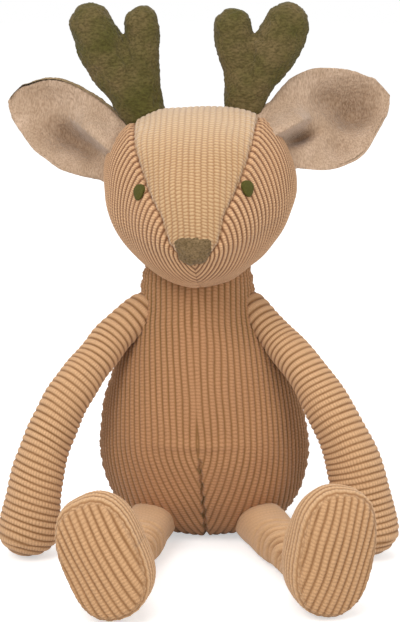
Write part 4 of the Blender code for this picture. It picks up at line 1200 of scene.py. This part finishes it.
def make_sole(name, foot, cord_turn, matrix, outward_way, material):
    """The oval sole of a foot, slightly domed, with cords along it."""
    side, *_, stretch = foot
    angles = round_turns(SOLE_SIDES)
    last = np.array(LEG_SHARES[-1])[None, :]
    edge = leg_rings(last, foot, angles)[0]
    flat = leg_rings(last, (side, 0.0, 0.0, stretch), angles)[0]
    centre = edge.mean(axis=0)
    share = np.linspace(SOLE_MIDDLE, 1, SOLE_ROWS)[:, None, None]
    points = centre + (edge - centre)[None] * share
    points = points + outward_way * (FOOT_RIM + SOLE_CROWN * (1 - share ** SOLE_FULLNESS))
    points = placed(points, matrix)
    flat = (flat - flat.mean(axis=0))[None] * share
    across, upward = flat[..., 0], flat[..., 2]
    turn = side * math.radians(cord_turn)
    slant = across * math.cos(turn) + upward * math.sin(turn)
    level = upward * math.cos(turn) - across * math.sin(turn)
    cords, beads = woven(points, slant / SOLE_CORD_PITCH, level)
    from_edge, around = lengths(points[::-1], 0)[::-1], lengths(points, 1)
    normals, outward = normals_of(points, True, placed(centre + INSIDE_STEP * -outward_way, matrix))
    raised = ribbed(points, normals, cords, beads, SOLE_CORD_PITCH, seam_relief(from_edge, around))
    raised, weave = hemmed(raised, normals, weave_of(cords, beads, from_edge), 0, ends=(-1,))
    return make_piece(name + "_sole_cloth", raised, weave, material,
                      wraps=True, outward=outward, capped=(True, False))


# Antlers

def tube_rings(line):
    """Rings of a rounded tube in a plane: its line holds places across, heights and radii."""
    line = np.array(line)
    along = lengths(line[:, :2], 0)
    places = np.linspace(0, along[-1], TUBE_ROWS)
    middle = smooth(np.column_stack([along, line]), places)
    way = unit(np.gradient(middle[:, :2], axis=0))
    start, end = middle[0], middle[-1]
    before, after = [], []
    for turn in np.linspace(0, math.pi / 2, CAP_ROWS, endpoint=False)[1:]:
        cosine, sine = math.cos(turn), math.sin(turn)
        before.append((*(start[:2] - way[0] * start[2] * cosine), start[2] * sine))
        after.append((*(end[:2] + way[-1] * end[2] * sine), end[2] * cosine))
    middle = np.vstack([before, middle, after])
    way = np.vstack([np.repeat(way[:1], len(before), 0), way, np.repeat(way[-1:], len(after), 0)])
    across = np.stack([way[:, 1], np.zeros(len(way)), -way[:, 0]], axis=-1)
    angle = round_turns(TUBE_SIDES)
    deep = np.array([0.0, ANTLER_DEPTH_SHARE, 0.0])
    ring = across[:, None] * np.cos(angle)[None, :, None] + deep * np.sin(angle)[None, :, None]
    centre = np.stack([middle[:, 0], np.zeros(len(middle)), middle[:, 1]], axis=-1)
    return centre[:, None] + ring * middle[:, None, 2:3]


def merged_form(grids):
    """One smooth closed mesh round several tubes, as a mesh, its points and their normals."""
    mesh = bpy.data.meshes.new("form")
    points, faces, first = [], [], 0
    for grid in grids:
        index = np.arange(grid[..., 0].size).reshape(grid.shape[:2]) + first
        points.append(grid.reshape(-1, 3))
        faces += at_corners(np.column_stack([index, index[:, 0]])).tolist()
        faces += [index[0][::-1].tolist(), index[-1].tolist()]
        first += index.size
    mesh.from_pydata(np.vstack(points).tolist(), [], faces)
    holder = new_object("form", mesh)
    remesh = holder.modifiers.new("Join", "REMESH")
    remesh.mode = "VOXEL"
    remesh.voxel_size = ANTLER_VOXEL
    relax = holder.modifiers.new("Relax", "SMOOTH")
    relax.factor = ANTLER_RELAX
    relax.iterations = ANTLER_SMOOTHING
    finer = holder.modifiers.new("Finer", "SUBSURF")
    finer.levels = finer.render_levels = 1
    graph = bpy.context.evaluated_depsgraph_get()
    made = bpy.data.meshes.new_from_object(holder.evaluated_get(graph))
    bpy.data.objects.remove(holder)
    place, normal = np.empty((2, len(made.vertices) * 3))
    made.vertices.foreach_get("co", place)
    made.vertex_normals.foreach_get("vector", normal)
    return made, place.reshape(-1, 3), normal.reshape(-1, 3)


def creased(flat, creases):
    """Depth of soft folds along lines of a plane, each with two ends, a depth and a width."""
    total = np.zeros(len(flat))
    for start, end, depth, width in creases:
        start, end = np.array(start), np.array(end)
        way = end - start
        share = np.clip((flat - start) @ way / (way @ way), 0, 1)
        away = np.linalg.norm(flat - start - share[:, None] * way, axis=-1)
        total += depth * bell(away / width) * (1 - FOLD_FADE * share)
    return total


def make_antler(name, tines, creases, material):
    """A stuffed forked antler with nap, a side seam and folds at the fork, and where its root bends."""
    made, points, normals = merged_form([tube_rings(line) for line in tines])
    height = nap(points, ANTLER_NAP) + lumps(points, ANTLER_LUMP, ANTLER_LUMP_SIZE)
    height -= ANTLER_SEAM_DIP * bell(points[:, 1] / ANTLER_SEAM_WIDTH)
    height -= creased(points[:, [0, 2]], creases) * np.clip(-normals[:, 1] + FOLD_WRAP, 0, 1)
    points = points + normals * height[:, None]
    points = placed(points + np.array([0.0, ANTLER_PLANE_Y, 0.0]), head_matrix())
    made.vertices.foreach_set("co", points.ravel())
    made.name = name
    made.materials.clear()
    made.materials.append(material)
    made.shade_smooth()
    made.update()
    piece = new_object(name + "_plush", made)
    return piece, bend_at(name, head_matrix()[:3, 2], ANTLER_BEND, ANTLER_BEND)


# Ears

def ear_axes(name, side):
    """An ear's root on the head, and its axes: out along it, up across it and forward from its lining."""
    joint = joint_of(name)
    upward = -side * np.array(joint["axis"])
    rise, sweep = math.radians(EAR_RISE), math.radians(EAR_SWEEP)
    level = math.cos(rise)
    out = np.array([side * level * math.cos(sweep), level * math.sin(sweep), math.sin(rise)])
    forward = unit(np.cross(out, upward)) * side
    upward = unit(np.cross(forward, out)) * side
    return np.array(joint["pos_m"]) + forward * EAR_HINGE_BACK, out, upward, forward


def ear_outline(shape, place):
    """Middle height and half height of an ear at places along it."""
    place = np.minimum(place, shape["length"])
    top, bottom = (smooth(shape[line], place)[..., 0] for line in ("top", "bottom"))
    return (top + bottom) / 2, (top - bottom) / 2


def ear_depth(shape, place, height):
    """How far forward the face of an ear's lining lies, over its plane, and how deep its folds are."""
    centre, half = ear_outline(shape, place)
    across = (height - centre) / np.maximum(half, EAR_LEAST_HALF)
    share = np.clip(place / shape["length"], 0, 1)
    depth = EAR_CUP * np.sin(np.pi * share) * (across ** 2 - EAR_CUP_LEVEL) + EAR_ROOT_CUP * (1 - share)
    folds = np.zeros_like(depth)
    for u, v, reach_u, reach_v, sink in shape["dents"]:
        folds += EAR_FOLD_DEPTH * sink * bell((place - u) / reach_u, (height - v) / reach_v)
    for start, end, rise, above, below in shape["ridges"]:
        start, end = np.array(start), np.array(end)
        way = end - start
        along = ((place - start[0]) * way[0] + (height - start[1]) * way[1]) / (way @ way)
        off = height - start[1] - np.clip(along, *RIDGE_RANGE) * way[1]
        fade = 1 / (1 + np.exp((along - 1) * RIDGE_FADE))
        folds -= EAR_FOLD_DEPTH * rise * bell(off / np.where(off > 0, above, below)) * fade
    return depth - folds, np.clip(folds / EAR_FOLD_RANGE, 0, 1)


def ear_places(shape, axes, across):
    """Places along the ear from inside the head to the tip, for each column across it."""
    root, out, upward, forward = axes
    tries = np.linspace(EAR_DEEPEST, EAR_SHALLOWEST, EAR_TRIES)
    centre, half = ear_outline(shape, np.zeros(1))
    height = centre + half * across
    points = root + tries[:, None, None] * out + height[None, :, None] * upward
    inside = in_head(points) > EAR_TUCK
    start = tries[np.argmax(np.cumsum(inside, axis=0), axis=0)]
    share = 1 - (1 - np.linspace(0, 1, EAR_ROWS)) ** EAR_TIP_CROWDING
    return start[None, :] + (shape["length"] - start[None, :]) * share[:, None]


def ear_lining(shape, axes):
    """The lining as places along it, heights, depths and folds."""
    across = np.sin(np.linspace(-math.pi / 2, math.pi / 2, EAR_COLUMNS))
    place = ear_places(shape, axes, across)
    centre, half = ear_outline(shape, np.maximum(place, 0))
    height = centre + half * across[None, :]
    depth, folds = ear_depth(shape, place, height)
    rounded = EAR_EDGE_DROP * np.abs(across[None, :]) ** EAR_EDGE_ROUND
    tip = EAR_EDGE_DROP * np.clip(place / shape["length"], 0, 1) ** EAR_TIP_ROUND
    return place, height, depth - np.maximum(rounded, tip), folds


def ear_back(shape, axes):
    """The back sheet, whose rim rolls forward round the edge of the lining."""
    top_roll, bottom_roll = (EAR_ROLL * (shape[rim] > 0) for rim in ("rim_top", "rim_bottom"))
    turn = np.linspace(-top_roll, math.pi + bottom_roll, EAR_COLUMNS)
    bend = np.sign(np.cos(turn)) * np.abs(np.cos(turn)) ** EAR_BACK_SQUARENESS
    place = ear_places(shape, axes, bend)
    centre, half = ear_outline(shape, np.maximum(place, 0))
    over = np.where(bend > 0, shape["rim_top"], shape["rim_bottom"])
    height = centre + (half + over[None, :]) * bend[None, :]
    depth, folds = ear_depth(shape, place, centre + half * bend[None, :])
    depth = depth - EAR_EDGE_DROP - EAR_THICKNESS * np.sin(turn)[None, :]
    beyond = np.clip(place / shape["length"], 0, 1) ** EAR_TIP_ROUND
    return place + beyond * shape["rim_tip"], height, depth, np.zeros_like(folds)


def make_ear_sheet(name, suffix, side, shape, sheet, behind, relief, material):
    """One sheet of an ear, and where its root bends. Its normals face away from a point behind it."""
    root, out, upward, forward = axes = ear_axes(name, side)
    place, height, depth, folds = sheet(shape, axes)
    points = root + place[..., None] * out + height[..., None] * upward + depth[..., None] * forward
    normals, outward = normals_of(points, False, root + out * shape["length"] / 2 - forward * behind)
    points = points + normals * nap(points, relief)[..., None]
    weave = weave_of(place / EAR_PLEAT_SCALE, height / EAR_PLEAT_SCALE, folds)
    piece = make_piece(f"{name}_{suffix}_plush", points, weave, material, outward=outward)
    return piece, (root - out * EAR_BEND, root + out * EAR_BEND)


# Face

def make_patch(name, turn, lean, half_width, half_height, taper, thickness, roundness, relief, material):
    """A small domed patch on the head, wider at the top by its taper."""
    reach = float(head_reach(head_direction(turn, lean)))
    share = np.sin(np.linspace(0, 1, PATCH_ROWS) * math.pi / 2)[:, None]
    dome = (1 - share ** PATCH_DOME) ** (1 / PATCH_DOME)
    angle = round_turns(PATCH_SIDES)[None, :]
    squared = (np.abs(np.cos(angle)) ** roundness + np.abs(np.sin(angle)) ** roundness) ** (-1 / roundness)
    up = np.sin(angle) * squared * share
    across = np.cos(angle) * squared * share * half_width * (1 + taper * up)
    direction = head_direction(turn + np.degrees(up * half_height / reach), lean + np.degrees(across / reach))
    lift = thickness * dome - PATCH_TUCK * (1 - dome) ** PATCH_TUCK_POWER
    points = head_points(direction, lift)[1:]
    normals, outward = normals_of(points, True, HEAD_CENTRE)
    points = points + normals * nap(points, relief)[..., None]
    weave = weave_of(across[1:] / THREAD_PITCH, up[1:] * half_height / THREAD_PITCH, 0.0)
    return make_piece(name + "_patch", points, weave, material, wraps=True, outward=outward,
                      capped=(True, False))


# Studio

def seen_directly(tree):
    """One for rays from the camera or a reflection, zero for those that light the object."""
    path = wire(tree, "LightPath")
    return sums(tree, "MAXIMUM", path.outputs["Is Camera Ray"], path.outputs["Is Glossy Ray"])


def make_floor():
    """A pale floor that the camera sees as white, with the object's shadow on it."""
    mesh = bpy.data.meshes.new("floor")
    half = FLOOR_SIZE / 2
    corners = [(-half, -half, 0), (half, -half, 0), (half, half, 0), (-half, half, 0)]
    mesh.from_pydata(corners, [], [(0, 1, 2, 3)])
    material, tree, shader = new_material("floor_paper", FLOOR_ROUGHNESS, 0.0)
    shader.inputs["Base Color"].default_value = FLOOR_COLOUR
    shader.inputs["Emission Color"].default_value = WHITE
    glow = sums(tree, "MULTIPLY", seen_directly(tree), FLOOR_GLOW)
    tree.links.new(glow, shader.inputs["Emission Strength"])
    mesh.materials.append(material)
    new_object("floor", mesh)


def make_world():
    world = bpy.data.worlds.new("studio")
    world.use_nodes = True
    tree = world.node_tree
    backdrop = tree.nodes["Background"]
    level = sums(tree, "MULTIPLY_ADD", seen_directly(tree), BACKDROP_LIGHT - WORLD_LIGHT, WORLD_LIGHT)
    tree.links.new(level, backdrop.inputs["Strength"])
    backdrop.inputs["Color"].default_value = WHITE
    bpy.context.scene.world = world


def make_lamp(name, place, size, power):
    light = bpy.data.lights.new(name, "AREA")
    light.shape = "DISK"
    light.size = size
    light.energy = power
    lamp = new_object(name, light)
    lamp.location = place
    lamp.rotation_euler = (Vector(VIEW_TARGET) - Vector(place)).to_track_quat("-Z", "Y").to_euler()


def make_camera():
    data = bpy.data.cameras.new("camera")
    data.sensor_fit = "AUTO"
    data.sensor_width = SENSOR
    data.lens = FOCAL_PIXELS / IMAGE_HEIGHT_PIXELS * SENSOR
    camera = new_object("camera", data)
    rise = math.radians(VIEW_RISE)
    back = Vector((0.0, -math.cos(rise), math.sin(rise))) * VIEW_DISTANCE
    camera.location = Vector(VIEW_TARGET) + back
    camera.rotation_euler = (-back).to_track_quat("-Z", "Y").to_euler()
    bpy.context.scene.camera = camera


make_camera()
make_world()
make_floor()
for lamp_set in LAMPS:
    make_lamp(*lamp_set)

cloth = {name: make_corduroy(name, **look) for name, look in CLOTHS.items()}
plush = {name: make_plush(name, *look) for name, look in PLUSHES.items()}
eye_thread = make_thread("eye_thread_stitches", *EYE_COLOURS)

for panel, first, last, centre, held in BODY_PANELS:
    angles = (quarters * math.pi / 2 for quarters in (first, last, centre))
    piece = make_body_panel(panel, *angles, cloth["body_cloth"])
    finish_piece(piece, (panel, *held), "head", NECK_BEND)
for side_name, side in SIDES.items():
    cheek = "head_side_" + side_name
    piece = make_head_side(cheek, side, cloth["cheek_cloth"])
    finish_piece(piece, (cheek,), "head")
piece = make_gusset(cloth["forehead_cloth"])
finish_piece(piece, ("head_gusset", "head_stuffing"), "head")
for side_name in SIDES:
    arm = "arm_" + side_name
    piece, bend = make_arm(arm, *ARMS[side_name], cloth["limb_cloth"])
    finish_piece(piece, (arm + "_cover", arm + "_stuffing"), arm, bend)
for side_name, side in SIDES.items():
    leg = "leg_" + side_name
    piece, sole, bend = make_leg(leg, side, *LEGS[side_name], cloth["leg_cloth"], cloth["sole_cloth"])
    finish_piece(piece, (leg + "_cover", leg + "_stuffing"), leg, bend)
    finish_piece(sole, (f"foot_{side_name}_sole",), leg)
for side_name in SIDES:
    antler = "antler_" + side_name
    piece, bend = make_antler(antler, *ANTLERS[side_name], plush["antler_plush"])
    replaced = (antler + "_front", antler + "_back", antler + "_stuffing")
    finish_piece(piece, replaced, antler, bend)
for side_name, side in SIDES.items():
    ear = "ear_" + side_name
    for suffix, sheet, behind, relief, pile, slot in (
        ("lining", ear_lining, INSIDE_STEP, EAR_NAP, "ear_plush", "pale_plush"),
        ("back", ear_back, EAR_THICKNESS / 2, EAR_BACK_NAP, "ear_back_plush", "dark_plush"),
    ):
        piece, bend = make_ear_sheet(ear, suffix, side, EARS[side_name], sheet, behind, relief,
                                     plush[pile])
        finish_piece(piece, (f"{ear}_{suffix}",), ear, bend)
piece = make_patch("nose", *NOSE, NOSE_ROUNDNESS, NOSE_NAP, plush["nose_plush_pile"])
finish_piece(piece, ("nose",), "head")
for side_name, side in SIDES.items():
    eye = "eye_" + side_name
    piece = make_patch(eye, EYE_TURN, side * EYE_LEAN, *EYE_SIZE, EYE_ROUNDNESS, EYE_NAP, eye_thread)
    finish_piece(piece, (eye,), "head")

bpy.context.scene.view_settings.view_transform = "Standard"
